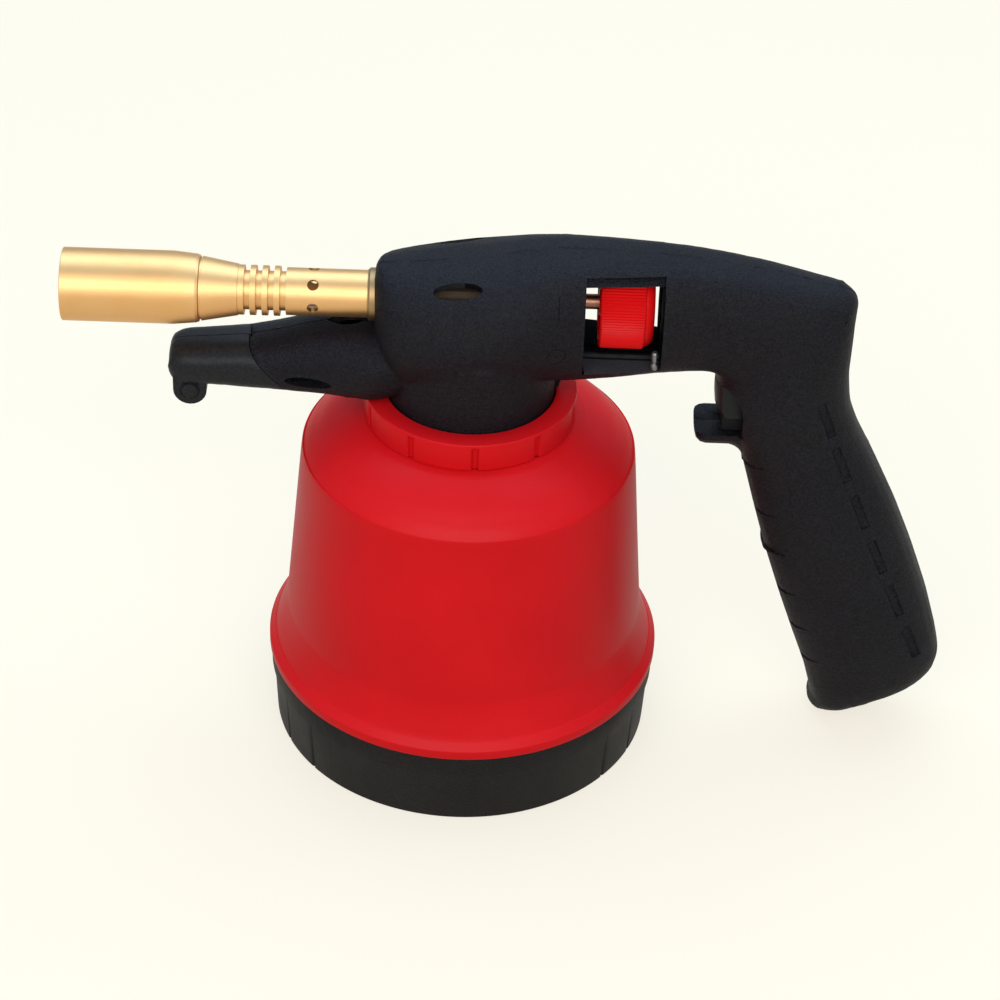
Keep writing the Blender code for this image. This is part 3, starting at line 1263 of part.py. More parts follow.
def wire_route():
    """The lead from the piezo, over the window's floor and round the stem, to the electrode's rear."""
    floor = AXIS_HEIGHT - WINDOW_DROP + GAP + WIRE_RADIUS
    side = -FLOOR_SLOT_HALF_WIDTH * 2
    piezo_rear = PIEZO_START + PIEZO_LENGTH
    piezo_top = PLUNGER_HEIGHT + PIEZO_HALF_SIDE
    beside = STEM_RADIUS + 3 * WIRE_RADIUS
    end = -STEM_RADIUS - WIRE_RADIUS - 4 * GAP
    end_top = AXIS_HEIGHT - ELECTRODE_DROP - INSULATOR_RADIUS - GAP
    return [
        (piezo_rear - 3 * WIRE_RADIUS, 0, piezo_top + GAP),
        (piezo_rear - 3 * WIRE_RADIUS, 0, piezo_top + 3 * WIRE_RADIUS),
        (PIEZO_START + PIEZO_LENGTH / 2, side / 2, floor),
        (WINDOW_END + 4 * WINDOW_FRAME, side, floor),
        (WINDOW_END, side, floor),
        ((WINDOW_START + WINDOW_END) / 2, side, floor),
        (WINDOW_START, side, floor),
        (WINDOW_START - 2 * WINDOW_FRAME, side, floor),
        (BARREL_REAR, side - 3 * WIRE_RADIUS, floor),
        (STEM_RADIUS / 2, -beside, floor + WIRE_RADIUS),
        (-STEM_RADIUS / 2, -beside, floor + 3 * WIRE_RADIUS),
        (end, -STEM_RADIUS / 2, floor + 4 * WIRE_RADIUS),
        (end, 0, end_top - 3 * WIRE_RADIUS),
        (end, 0, end_top),
    ]


def wire_room():
    """The two holes in the window's frame for the lead."""
    floor = AXIS_HEIGHT - WINDOW_DROP + GAP + WIRE_RADIUS
    side = -FLOOR_SLOT_HALF_WIDTH * 2
    start = WINDOW_START - 2 * WINDOW_FRAME
    end = WINDOW_END + 2 * WINDOW_FRAME
    return rod("wire_room", (start, side, floor), (end, side, floor), WIRE_RADIUS + GAP)


def ignition_wire():
    piece(wire_object("ignition_wire", smooth_route(wire_route(), 3), WIRE_RADIUS), "wire_sleeve")


def wire_terminal():
    """The plated pin that stands on the window's floor beside the lead."""
    floor = AXIS_HEIGHT - WINDOW_DROP + GAP
    collar = floor + TERMINAL_HEIGHT / 4
    top = floor + TERMINAL_HEIGHT
    tip = TERMINAL_RADIUS * TERMINAL_TIP_SHARE
    chamfer = floor + TERMINAL_HEIGHT * TERMINAL_CHAMFER_SHARE
    foot = TERMINAL_RADIUS / 3
    pin = turned("wire_terminal", [
        (0, top), (tip, top), (TERMINAL_RADIUS, chamfer), (TERMINAL_RADIUS, collar + TERMINAL_RADIUS),
        (TERMINAL_RADIUS * TERMINAL_COLLAR_SHARE, collar), (foot, collar), (foot, floor), (0, floor)], SMALL_STEPS)
    pin.location = (TERMINAL_X, TERMINAL_Y, 0)
    return piece(pin, "steel")


def piezo_body():
    """The piezo igniter, a plain block with a bore for its plunger."""
    half = PIEZO_HALF_SIDE
    block = box("piezo_body", (PIEZO_START, -half, PLUNGER_HEIGHT - half),
                (PIEZO_START + PIEZO_LENGTH, half, PLUNGER_HEIGHT + half))
    piece(block, "piezo_plastic")
    depth = PLUNGER_LENGTH + TRIGGER_TRAVEL - (PIEZO_START - TRIGGER_REAR) + 2 * GAP
    return cut(block, rod("plunger_bore", (PIEZO_START - OVERRUN, 0, PLUNGER_HEIGHT),
                          (PIEZO_START + depth, 0, PLUNGER_HEIGHT), PLUNGER_RADIUS + GAP))


def piezo_plunger():
    start = TRIGGER_REAR + GAP
    plunger = rod("piezo_plunger", (start, 0, PLUNGER_HEIGHT), (start + PLUNGER_LENGTH, 0, PLUNGER_HEIGHT),
                  PLUNGER_RADIUS)
    return piece(plunger, "piezo_plastic")


def trigger_button():
    """The trigger: its face follows the handle's front, and a core below it slides on the rest."""
    head = piece(prism("trigger_button", arch_outline(GAP, TRIGGER_BOTTOM), TRIGGER_HALF_WIDTH), "trigger_plastic")
    combine(head, FORM, "INTERSECT")
    back = box("trigger_back", (OPENING_MIDDLE + GAP, -TRIGGER_HALF_WIDTH, TRIGGER_BOTTOM),
               (TRIGGER_REAR, TRIGGER_HALF_WIDTH, TRIGGER_TOP))
    combine(back, inner_core("back_core", TRIGGER_WALL + GAP), "INTERSECT")
    core = box("trigger_core", (TRIGGER_CORE_START, -TRIGGER_CORE_HALF_WIDTH, REST_TOP + GAP),
               (TRIGGER_REAR, TRIGGER_CORE_HALF_WIDTH, TRIGGER_BOTTOM + GAP))
    return join(head, back, core)


NOSE = nose_form()
FORM = casing_form()
HOLLOW = casing_hollow()
CORE = helper(inner_core("slot_core", DASH_DEPTH))

casing_halves()
nose_caps()
screws()
base_cup()
gas_cartridge()
housing_shell()
collar_ring()
valve_body()
piercing_needle()
cartridge_seal()
jet_nozzle()
packing_nut()
valve_spindle()
spindle_seal()
control_knob()
burner_flange()
burner_tube()
burner_head()
flame_holder()
electrode()
ignition_wire()
wire_terminal()
piezo_body()
piezo_plunger()
trigger_button()
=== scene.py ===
"""Looks of a hand-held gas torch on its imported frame. Metres, +Z up, the burner along -X."""

import math

import bmesh
import bpy
from mathutils import Matrix, Vector
from mathutils.bvhtree import BVHTree
from mathutils.geometry import intersect_point_line


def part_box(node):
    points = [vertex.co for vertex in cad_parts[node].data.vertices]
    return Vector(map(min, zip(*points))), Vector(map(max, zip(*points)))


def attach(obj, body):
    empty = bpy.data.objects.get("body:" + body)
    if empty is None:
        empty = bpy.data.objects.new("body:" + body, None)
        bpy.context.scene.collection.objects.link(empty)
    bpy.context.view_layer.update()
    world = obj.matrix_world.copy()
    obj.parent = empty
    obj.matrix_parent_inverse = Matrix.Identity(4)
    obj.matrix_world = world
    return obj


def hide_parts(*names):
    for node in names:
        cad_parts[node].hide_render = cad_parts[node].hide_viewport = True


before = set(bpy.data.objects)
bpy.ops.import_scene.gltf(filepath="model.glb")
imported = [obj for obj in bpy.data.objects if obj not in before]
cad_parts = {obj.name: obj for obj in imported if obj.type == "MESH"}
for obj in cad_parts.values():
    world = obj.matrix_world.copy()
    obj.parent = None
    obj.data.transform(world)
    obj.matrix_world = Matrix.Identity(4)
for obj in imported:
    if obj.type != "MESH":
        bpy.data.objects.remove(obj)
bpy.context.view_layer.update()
scene = bpy.context.scene


# Camera
# It stands in front of the torch's left flank and looks down on it, as the photograph does. The
# long lens keeps the upright edges nearly parallel.

LENS = 108
STAND = Vector((0, -0.6557, 0.5570))
HEADING = math.radians(0.789)
DIP = math.radians(36.607)
TILT = math.radians(2.38)

camera = bpy.data.objects.new("camera", bpy.data.cameras.new("camera"))
camera.data.lens = LENS
camera.data.sensor_width = 36
camera.data.clip_start = 0.01
aim = Matrix.Rotation(-HEADING, 4, "Z") @ Matrix.Rotation(math.pi / 2 - DIP, 4, "X")
camera.matrix_world = Matrix.Translation(STAND) @ aim @ Matrix.Rotation(TILT, 4, "Z")
scene.collection.objects.link(camera)
scene.camera = camera
scene.view_settings.view_transform = "Standard"


# Floor, air and lamps
# A wide cream floor under a pale sky. The floor glows a little for the camera only, so that it
# stays even while the torch still lays a soft shadow on it.

CREAM = (1.0, 0.985, 0.875, 1)
FLOOR_REACH = 6
FLOOR_GLOW = 0.73
FLOOR_GLOW_TONE = (1.0, 0.94, 0.852, 1)
FLOOR_SHEEN = 0.50
FLOOR_TONE = (0.27, 0.252, 0.185, 1)
SKY_SEEN = 0.985
SKY_TOP = (0.42, 0.60, 0.80, 1)
SKY_EDGE = (0.34, 0.38, 0.42, 1)


def floor_finish():
    material = bpy.data.materials.new("floor_paper")
    material.use_nodes = True
    nodes = material.node_tree.nodes
    links = material.node_tree.links
    shader = nodes["Principled BSDF"]
    shader.inputs["Base Color"].default_value = FLOOR_TONE
    shader.inputs["Roughness"].default_value = 0.9
    shader.inputs["Specular IOR Level"].default_value = 0.0
    shader.inputs["Emission Color"].default_value = FLOOR_GLOW_TONE
    ray = nodes.new("ShaderNodeLightPath")
    strength = shader.inputs["Emission Strength"]
    for output, amount in (("Is Camera Ray", FLOOR_GLOW), ("Is Glossy Ray", FLOOR_SHEEN)):
        share = nodes.new("ShaderNodeMath")
        share.operation = "MULTIPLY_ADD"
        share.inputs[1].default_value = amount
        share.inputs[2].default_value = 0
        links.new(ray.outputs[output], share.inputs[0])
        if strength.is_linked:
            links.new(strength.links[0].from_socket, share.inputs[2])
        links.new(share.outputs["Value"], strength)
    return material


def lay_floor():
    bm = bmesh.new()
    bmesh.ops.create_grid(bm, x_segments=1, y_segments=1, size=FLOOR_REACH)
    mesh = bpy.data.meshes.new("floor")
    bm.to_mesh(mesh)
    bm.free()
    mesh.materials.append(floor_finish())
    floor = bpy.data.objects.new("floor", mesh)
    scene.collection.objects.link(floor)


def hang_sky():
    """Cream for the camera; for light and reflections a pale sky that is brighter overhead."""
    world = bpy.data.worlds.new("studio_air")
    world.use_nodes = True
    scene.world = world
    nodes = world.node_tree.nodes
    links = world.node_tree.links
    light = nodes["Background"]
    seen = nodes.new("ShaderNodeBackground")
    seen.inputs["Color"].default_value = CREAM
    seen.inputs["Strength"].default_value = SKY_SEEN
    place = nodes.new("ShaderNodeTexCoord")
    height = nodes.new("ShaderNodeSeparateXYZ")
    shades = nodes.new("ShaderNodeValToRGB")
    shades.color_ramp.elements[0].color = SKY_EDGE
    shades.color_ramp.elements[1].color = SKY_TOP
    ray = nodes.new("ShaderNodeLightPath")
    choice = nodes.new("ShaderNodeMixShader")
    links.new(place.outputs["Generated"], height.inputs["Vector"])
    links.new(height.outputs["Z"], shades.inputs["Fac"])
    links.new(shades.outputs["Color"], light.inputs["Color"])
    links.new(ray.outputs["Is Camera Ray"], choice.inputs["Fac"])
    links.new(light.outputs["Background"], choice.inputs[1])
    links.new(seen.outputs["Background"], choice.inputs[2])
    links.new(choice.outputs["Shader"], nodes["World Output"].inputs["Surface"])


def softbox(name, place, target, size, watts, colour):
    lamp = bpy.data.lights.new(name, "AREA")
    lamp.shape = "RECTANGLE"
    lamp.size, lamp.size_y = size
    lamp.energy = watts
    lamp.color = colour
    holder = bpy.data.objects.new(name, lamp)
    turn = (Vector(target) - Vector(place)).to_track_quat("-Z", "Y").to_matrix().to_4x4()
    holder.matrix_world = Matrix.Translation(place) @ turn
    scene.collection.objects.link(holder)


lay_floor()
hang_sky()
softbox("key_softbox", (-0.10, -1.10, 0.82), (0, 0, 0.07), (1.8, 0.8), 14.5, (1.0, 0.97, 0.94))
softbox("top_softbox", (0.05, 0.35, 0.85), (0, 0, 0.10), (1.1, 0.6), 6.0, (0.62, 0.80, 1.0))
softbox("edge_softbox", (0.95, 0.35, 0.50), (0.05, 0, 0.10), (0.3, 0.5), 0.9, (1.0, 0.90, 0.78))


# Base cup
# A black polypropylene cup, injection moulded. It screws into the shell from below, and short
# upright grooves on its side give the fingers a hold.

WELD = 0.000001
CUP_RADIUS = 0.0520
CUP_LIP_RADIUS = 0.0534
CUP_LIP_FOOT = 0.0168
CUP_TOP = 0.0227
CUP_FLOOR = 0.0028
CUP_THREAD_RADIUS = 0.0488
CUP_THREAD_TOP = 0.0336
CUP_THREAD_DEPTH = 0.0006
CUP_THREADS = 4
CUP_WALL = 0.0024
CUP_GROOVE_RADIUS = 0.0006
CUP_GROOVE_DEGREES = (50, 65, 115, 130, 230, 245, 295, 310)
GRAIN = 2600
DUST = (0.16, 0.16, 0.15, 1)


def finish(name, colour, roughness, metallic=0.0, specular=0.5):
    """A plain coat that the textures below are laid on."""
    material = bpy.data.materials.new(name)
    material.use_nodes = True
    shader = material.node_tree.nodes["Principled BSDF"]
    shader.inputs["Base Color"].default_value = (*colour, 1)
    shader.inputs["Roughness"].default_value = roughness
    shader.inputs["Metallic"].default_value = metallic
    shader.inputs["Specular IOR Level"].default_value = specular
    return material, shader


def texture(material, kind, scale, stretch=(1, 1, 1), detail=2.0):
    """Noise or cells in the piece's own place; a small stretch draws it out along that axis."""
    nodes = material.node_tree.nodes
    links = material.node_tree.links
    place = nodes.new("ShaderNodeTexCoord")
    drawn = nodes.new("ShaderNodeMapping")
    drawn.inputs["Scale"].default_value = stretch
    pattern = nodes.new(kind)
    pattern.inputs["Scale"].default_value = scale
    pattern.inputs["Detail"].default_value = detail
    links.new(place.outputs["Object"], drawn.inputs["Vector"])
    links.new(drawn.outputs["Vector"], pattern.inputs["Vector"])
    return pattern


def noise(material, scale, stretch=(1, 1, 1), detail=2.0):
    return texture(material, "ShaderNodeTexNoise", scale, stretch, detail).outputs["Fac"]


def spread(material, value, low, high, start=0.3, end=0.7):
    """Stretches a pattern to run between two values."""
    ends = material.node_tree.nodes.new("ShaderNodeMapRange")
    ends.inputs["From Min"].default_value = start
    ends.inputs["From Max"].default_value = end
    ends.inputs["To Min"].default_value = low
    ends.inputs["To Max"].default_value = high
    material.node_tree.links.new(value, ends.inputs["Value"])
    return ends.outputs["Result"]


def tones(material, value, shades):
    """Colours that follow a pattern; shades are (place on the pattern, colour)."""
    ramp = material.node_tree.nodes.new("ShaderNodeValToRGB")
    elements = ramp.color_ramp.elements
    while len(elements) < len(shades):
        elements.new(0.5)
    for element, (position, colour) in zip(elements, shades):
        element.position = position
        element.color = (*colour, 1)
    material.node_tree.links.new(value, ramp.inputs["Fac"])
    return ramp.outputs["Color"]


def relief(material, shader, height, depth):
    """Adds a pattern's height to the surface, on top of any relief it has."""
    links = material.node_tree.links
    bump = material.node_tree.nodes.new("ShaderNodeBump")
    bump.inputs["Distance"].default_value = depth
    links.new(height, bump.inputs["Height"])
    if shader.inputs["Normal"].is_linked:
        links.new(shader.inputs["Normal"].links[0].from_socket, bump.inputs["Normal"])
    links.new(bump.outputs["Normal"], shader.inputs["Normal"])


def black_moulding(name, dark, light, roughness, grain_scale, grain_depth):
    """Black plastic with the fine grain of a spark-eroded mould and a few specks of dust."""
    material, shader = finish(name, dark, roughness, specular=0.15)
    links = material.node_tree.links
    cloud = noise(material, 45, detail=4.0)
    rough = spread(material, cloud, roughness - 0.07, roughness + 0.07)
    links.new(rough, shader.inputs["Roughness"])
    grain = noise(material, grain_scale, detail=1.0)
    relief(material, shader, grain, grain_depth)
    mottle = noise(material, grain_scale * 0.6, detail=1.0)
    mixed = material.node_tree.nodes.new("ShaderNodeMix")
    mixed.data_type = "RGBA"
    mixed.inputs["B"].default_value = DUST
    specks = texture(material, "ShaderNodeTexVoronoi", 300)
    dust = spread(material, specks.outputs["Distance"], 0.8, 0.0, 0.03, 0.07)
    links.new(dust, mixed.inputs["Factor"])
    links.new(tones(material, mottle, ((0.35, dark), (0.65, light))), mixed.inputs["A"])
    links.new(mixed.outputs["Result"], shader.inputs["Base Color"])
    return material


def spun(profile, steps, place=Matrix.Identity(4)):
    """Turns a closed profile of (radius, height) points about Z, then puts it in place."""
    bm = bmesh.new()
    verts = [bm.verts.new((radius, 0, height)) for radius, height in profile]
    edges = [bm.edges.new(pair) for pair in zip(verts, verts[1:] + verts[:1])]
    bmesh.ops.spin(bm, geom=verts + edges, cent=(0, 0, 0), axis=(0, 0, 1), angle=math.tau,
                   steps=steps, use_merge=True)
    bmesh.ops.remove_doubles(bm, verts=bm.verts, dist=WELD)
    bmesh.ops.delete(bm, geom=[edge for edge in bm.edges if not edge.link_faces], context="EDGES")
    bmesh.ops.recalc_face_normals(bm, faces=bm.faces)
    bmesh.ops.transform(bm, matrix=place, verts=bm.verts)
    return bm


def rod(start, end, radius, steps=24):
    """A straight round tool from start to end."""
    axis = Vector(end) - Vector(start)
    middle = (Vector(start) + Vector(end)) / 2
    place = Matrix.Translation(middle) @ axis.to_track_quat("Z", "Y").to_matrix().to_4x4()
    bm = bmesh.new()
    bmesh.ops.create_cone(bm, cap_ends=True, segments=steps, radius1=radius, radius2=radius,
                          depth=axis.length, matrix=place)
    return bm


def loose(bm):
    """A bare object for a tool or a blank."""
    mesh = bpy.data.meshes.new("tool")
    bm.to_mesh(mesh)
    bm.free()
    item = bpy.data.objects.new("tool", mesh)
    scene.collection.objects.link(item)
    return item


def carved(bm, tools, operation="DIFFERENCE"):
    """Cuts or joins a blank with tools and gives the finished mesh back."""
    blank = loose(bm)
    others = [loose(tool) for tool in tools]
    for other in others:
        boolean = blank.modifiers.new("carve", "BOOLEAN")
        boolean.operation = operation
        boolean.solver = "EXACT"
        boolean.object = other
    bpy.context.view_layer.update()
    result = bmesh.new()
    result.from_object(blank, bpy.context.evaluated_depsgraph_get())
    for item in (blank, *others):
        bpy.data.objects.remove(item)
    bmesh.ops.remove_doubles(result, verts=result.verts, dist=WELD)
    return result


def soften(bm, width, segments=2, degrees=30, keep=lambda edge: False):
    """Rounds every edge sharper than an angle, apart from those to keep."""
    limit = math.radians(degrees)
    sharp = [edge for edge in bm.edges
             if edge.is_manifold and edge.calc_face_angle() > limit and not keep(edge)]
    bmesh.ops.bevel(bm, geom=sharp, offset=width, segments=segments, affect="EDGES", profile=0.5,
                    material=-1, clamp_overlap=True)
    return bm


def fit(name, bm, material, body, slot, *nodes, smooth_degrees=40):
    """Puts a finished piece on its body in place of its CAD nodes."""
    mesh = bpy.data.meshes.new(name)
    bm.to_mesh(mesh)
    bm.free()
    mesh.shade_smooth()
    mesh.set_sharp_from_angle(angle=math.radians(smooth_degrees))
    mesh.materials.append(material)
    piece = bpy.data.objects.new(name, mesh)
    scene.collection.objects.link(piece)
    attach(piece, body)
    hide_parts(*nodes)
    return piece


def cup_side():
    """The cup's section: floor, threaded wall, outer wall with its lip, rounded foot."""
    inner = CUP_THREAD_RADIUS - CUP_WALL
    pitch = (CUP_THREAD_TOP - CUP_TOP) / (CUP_THREADS + 1)
    ridges = []
    for number in range(CUP_THREADS):
        foot = CUP_THREAD_TOP - (number + 1) * pitch
        ridges += [(CUP_THREAD_RADIUS - CUP_THREAD_DEPTH, foot + pitch / 2), (CUP_THREAD_RADIUS, foot)]
    return [(0, CUP_FLOOR), (inner, CUP_FLOOR), (inner, CUP_THREAD_TOP),
            (CUP_THREAD_RADIUS - CUP_THREAD_DEPTH, CUP_THREAD_TOP), *ridges,
            (CUP_THREAD_RADIUS - CUP_THREAD_DEPTH, CUP_TOP), (CUP_LIP_RADIUS, CUP_TOP),
            (CUP_LIP_RADIUS, CUP_LIP_FOOT), (CUP_LIP_RADIUS - CUP_THREAD_DEPTH, CUP_LIP_FOOT),
            (CUP_RADIUS, CUP_THREAD_DEPTH), (CUP_RADIUS - CUP_WALL, 0), (0, 0)]


def base_cup():
    tools = []
    for degrees in CUP_GROOVE_DEGREES:
        turn = math.radians(degrees)
        outward = Vector((math.sin(turn), -math.cos(turn), 0))
        foot = outward * CUP_RADIUS - Vector((0, 0, CUP_FLOOR))
        top = outward * CUP_LIP_RADIUS + Vector((0, 0, CUP_LIP_FOOT))
        tools.append(rod(foot, top, CUP_GROOVE_RADIUS, 12))
    cup = soften(carved(spun(cup_side(), 144), tools), 0.0003, 2)
    black = black_moulding("cup_black", (0.0085, 0.0068, 0.0060), (0.0135, 0.0112, 0.0102),
                           0.52, GRAIN, 0.00016)
    fit("cup", cup, black, "base", "black_plastic", "base_cup")


base_cup()


# Gas cartridge
# A drawn steel can, 90 mm across, tinned inside and out. The needle has pierced its top, and the
# shell and the cup hide it.

def dress(material, *nodes):
    """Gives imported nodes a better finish."""
    for node in nodes:
        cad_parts[node].material_slots[0].material = material


def tinned_sheet():
    material, shader = finish("tinned_sheet", (0.46, 0.48, 0.50), 0.33, 1.0)
    crystals = texture(material, "ShaderNodeTexVoronoi", 220)
    links = material.node_tree.links
    links.new(spread(material, crystals.outputs["Distance"], 0.25, 0.42), shader.inputs["Roughness"])
    shades = ((0.2, (0.40, 0.42, 0.44)), (0.8, (0.52, 0.54, 0.56)))
    links.new(tones(material, noise(material, 90), shades), shader.inputs["Base Color"])
    return material


dress(tinned_sheet(), "gas_cartridge")


# Shell and union nut
# Two red polypropylene mouldings with a satin skin. The shell has a flared rim with two fine
# steps; the nut above it clamps the neck and has ten notches for a key.

SHELL_RIM_RADIUS = 0.0540
SHELL_RIM_FOOT = 0.0231
SHELL_STEP = 0.00035
SHELL_SIDE = ((0.0300, 0.0995), (0.0345, 0.0975), (0.0385, 0.0950), (0.0411, 0.0927),
              (0.0429, 0.0909), (0.0443, 0.0889), (0.0449, 0.0869), (0.0468, 0.0640),
              (0.0487, 0.0411), (0.0491, 0.0374), (0.0501, 0.0337), (0.0514, 0.0300))
SHELL_INSIDE = ((0.0465, 0.0411), (0.0427, 0.0858), (0.0389, 0.0904), (0.0170, 0.0984))
SHELL_BOSS_RADIUS = 0.0257
SHELL_BOSS_TOP = 0.1037
SHELL_BORE_RADIUS = 0.0170
NUT_RADIUS = 0.0282
NUT_BORE_RADIUS = 0.0227
NUT_LEVELS = (0.0998, 0.1077)
NUT_LIP = 0.0020
NUT_NOTCHES = 10
NUT_NOTCH_SIZE = (0.0016, 0.0018)
NUT_NOTCH_RISE = 0.86
NUT_TURN = math.radians(3.6)


def red_moulding(name, dark, light, roughness):
    """Satin red plastic: a faint orange peel and slow changes of tone."""
    material, shader = finish(name, light, roughness, specular=0.12)
    links = material.node_tree.links
    cloud = noise(material, 28, detail=3.0)
    links.new(tones(material, cloud, ((0.3, dark), (0.7, light))), shader.inputs["Base Color"])
    links.new(spread(material, cloud, roughness - 0.05, roughness + 0.06), shader.inputs["Roughness"])
    relief(material, shader, noise(material, 700, detail=2.0), 0.00003)
    relief(material, shader, noise(material, 3200, detail=1.0), 0.00002)
    return material


def curved(points, steps):
    """Points on a smooth curve through the given ones."""
    route = [Vector(point) for point in points]
    ends = [2 * route[0] - route[1], *route, 2 * route[-1] - route[-2]]
    result = []
    for before, start, end, after in zip(ends, ends[1:], ends[2:], ends[3:]):
        for index in range(steps):
            t = index / steps
            bend = (2 * before - 5 * start + 4 * end - after) * t ** 2
            twist = (3 * start - before - 3 * end + after) * t ** 3
            result.append((2 * start + (end - before) * t + bend + twist) / 2)
    return [*result, route[-1]]


def housing_shell(red):
    rim = SHELL_RIM_RADIUS
    foot = SHELL_RIM_FOOT
    outer = [(SHELL_BORE_RADIUS, SHELL_BOSS_TOP), (SHELL_BOSS_RADIUS, SHELL_BOSS_TOP),
             (SHELL_BOSS_RADIUS, SHELL_SIDE[0][1]), *curved(SHELL_SIDE, 4),
             (rim - 0.0019, foot + 0.0049), (rim - 0.0019 + SHELL_STEP, foot + 0.0047),
             (rim - SHELL_STEP, foot + 0.0029), (rim, foot + 0.0026), (rim, foot)]
    thread = CUP_THREAD_RADIUS + SHELL_STEP
    thread_top = CUP_THREAD_TOP + SHELL_STEP * 2
    inner = [(thread, foot), (thread, thread_top), (SHELL_INSIDE[0][0], thread_top), *SHELL_INSIDE]
    shell = soften(spun([*outer, *inner], 160), 0.0002, 2, 25)
    fit("shell", shell, red, "torch", "red_plastic", "housing_shell")


def union_nut(red):
    foot, top = NUT_LEVELS
    thread = SHELL_BOSS_RADIUS + SHELL_STEP
    side = [(NUT_BORE_RADIUS, top), (NUT_RADIUS, top), (NUT_RADIUS, foot), (thread, foot),
            (thread, top - NUT_LIP), (NUT_BORE_RADIUS, top - NUT_LIP)]
    width, depth = NUT_NOTCH_SIZE
    middle = foot - NUT_RADIUS / 2 + (top - foot) * NUT_NOTCH_RISE
    tools = []
    for number in range(NUT_NOTCHES):
        notch = bmesh.new()
        bmesh.ops.create_cube(notch, size=1)
        bmesh.ops.scale(notch, vec=(width, depth, NUT_RADIUS), verts=notch.verts)
        bmesh.ops.translate(notch, vec=(0, -NUT_RADIUS, middle), verts=notch.verts)
        turn = Matrix.Rotation(NUT_TURN + math.tau * number / NUT_NOTCHES, 4, "Z")
        bmesh.ops.transform(notch, matrix=turn, verts=notch.verts)
        tools.append(notch)
    nut = soften(carved(spun(side, 120), tools), 0.0004, 3)
    fit("union_nut", nut, red, "torch", "red_plastic", "collar_ring")


shell_red = red_moulding("shell_red", (0.62, 0.0062, 0.0090), (0.70, 0.0080, 0.0115), 0.42)
housing_shell(shell_red)
union_nut(shell_red)


# Valve inside the casing
# A turned brass body with a steel needle below and a jet in front. A rubber washer seals the
# cartridge and a rubber ring seals the spindle under the gland nut.

def turned_brass(name, colour, deep, roughness, stretch):
    """Brass with fine tool lines round it and a faint brown tarnish."""
    material, shader = finish(name, colour, roughness, 1.0)
    links = material.node_tree.links
    cloud = noise(material, 60, detail=4.0)
    links.new(tones(material, cloud, ((0.25, deep), (0.6, colour))), shader.inputs["Base Color"])
    lines = noise(material, 5200, stretch, 1.0)
    links.new(spread(material, lines, roughness - 0.02, roughness + 0.03), shader.inputs["Roughness"])
    relief(material, shader, lines, 0.0000014)
    relief(material, shader, noise(material, 700, (0.5, 1, 1)), 0.000006)
    return material


def rubber():
    material, shader = finish("seal_rubber", (0.020, 0.020, 0.020), 0.75)
    relief(material, shader, noise(material, 4000), 0.00003)
    bloom = spread(material, noise(material, 300, detail=4.0), 0.62, 0.88)
    material.node_tree.links.new(bloom, shader.inputs["Roughness"])
    return material


def plated_steel(name, tone, roughness):
    material, shader = finish(name, (tone, tone, tone), roughness, 1.0)
    links = material.node_tree.links
    patches = noise(material, 900, detail=3.0)
    links.new(spread(material, patches, roughness - 0.08, roughness + 0.12), shader.inputs["Roughness"])
    shades = ((0.3, (tone * 0.86,) * 3), (0.7, (tone * 1.12, tone * 1.12, tone * 1.1)))
    links.new(tones(material, noise(material, 150), shades), shader.inputs["Base Color"])
    relief(material, shader, noise(material, 3000, (1, 1, 0.1)), 0.00001)
    return material


ROUND_X = (1, 0.02, 0.02)
valve_brass = turned_brass("valve_brass", (0.085, 0.062, 0.042), (0.050, 0.038, 0.028), 0.60,
                           (0.3, 0.3, 1))
steel = plated_steel("plated_steel", 0.60, 0.24)
dress(valve_brass, "valve_body", "packing_nut", "jet_nozzle")
dress(steel, "piercing_needle")
dress(rubber(), "cartridge_seal", "spindle_seal")


# Burner
# Brass turnings on one axis. A dull bush sits in the casing's front wall, the mixing tube has six
# air holes and three cooling fins, and the flame tube is pressed on over a fine groove.

AXIS = 0.1350
FORWARD = Matrix.Translation((0, 0, AXIS)) @ Matrix.Rotation(-math.pi / 2, 4, "Y")
TUBE_RADIUS = 0.0062
TUBE_BORE = 0.0050
AIR_HOLE_PLACE = 0.0414
AIR_HOLE_RADIUS = 0.00148
AIR_HOLE_TURN = math.radians(49.3)
FIN_START = 0.0484
FIN_PITCH = 0.0031
FIN_RADIUS = 0.0065
FIN_GROOVES = 4
FIN_GROOVE_WIDTH = 0.0016
FIN_GROOVE_RADIUS = 0.0051
HEAD_RADIUS = 0.0095
HEAD_BORE = 0.0083
HEAD_END = 0.1063
HOLDER_FACES = (0.0900, 0.0930)
HOLDER_HOLES = 6
HOLDER_HOLE_CIRCLE = 0.0050
HOLDER_HOLE_RADIUS = 0.0013
HOLDER_BORE = 0.0017


def burner_bush():
    side = [(0.0065, 0.0207), (0.0084, 0.0207), (0.0084, 0.0223), (0.0069, 0.0223), (0.0069, 0.0268),
            (0.0063, 0.0274), (0.0065, 0.0274)]
    bush = soften(spun(side, 72, FORWARD), 0.0003, 3)
    dull = turned_brass("bush_brass", (0.46, 0.30, 0.14), (0.26, 0.16, 0.08), 0.46, ROUND_X)
    fit("bush", bush, dull, "torch", "brass", "burner_flange")


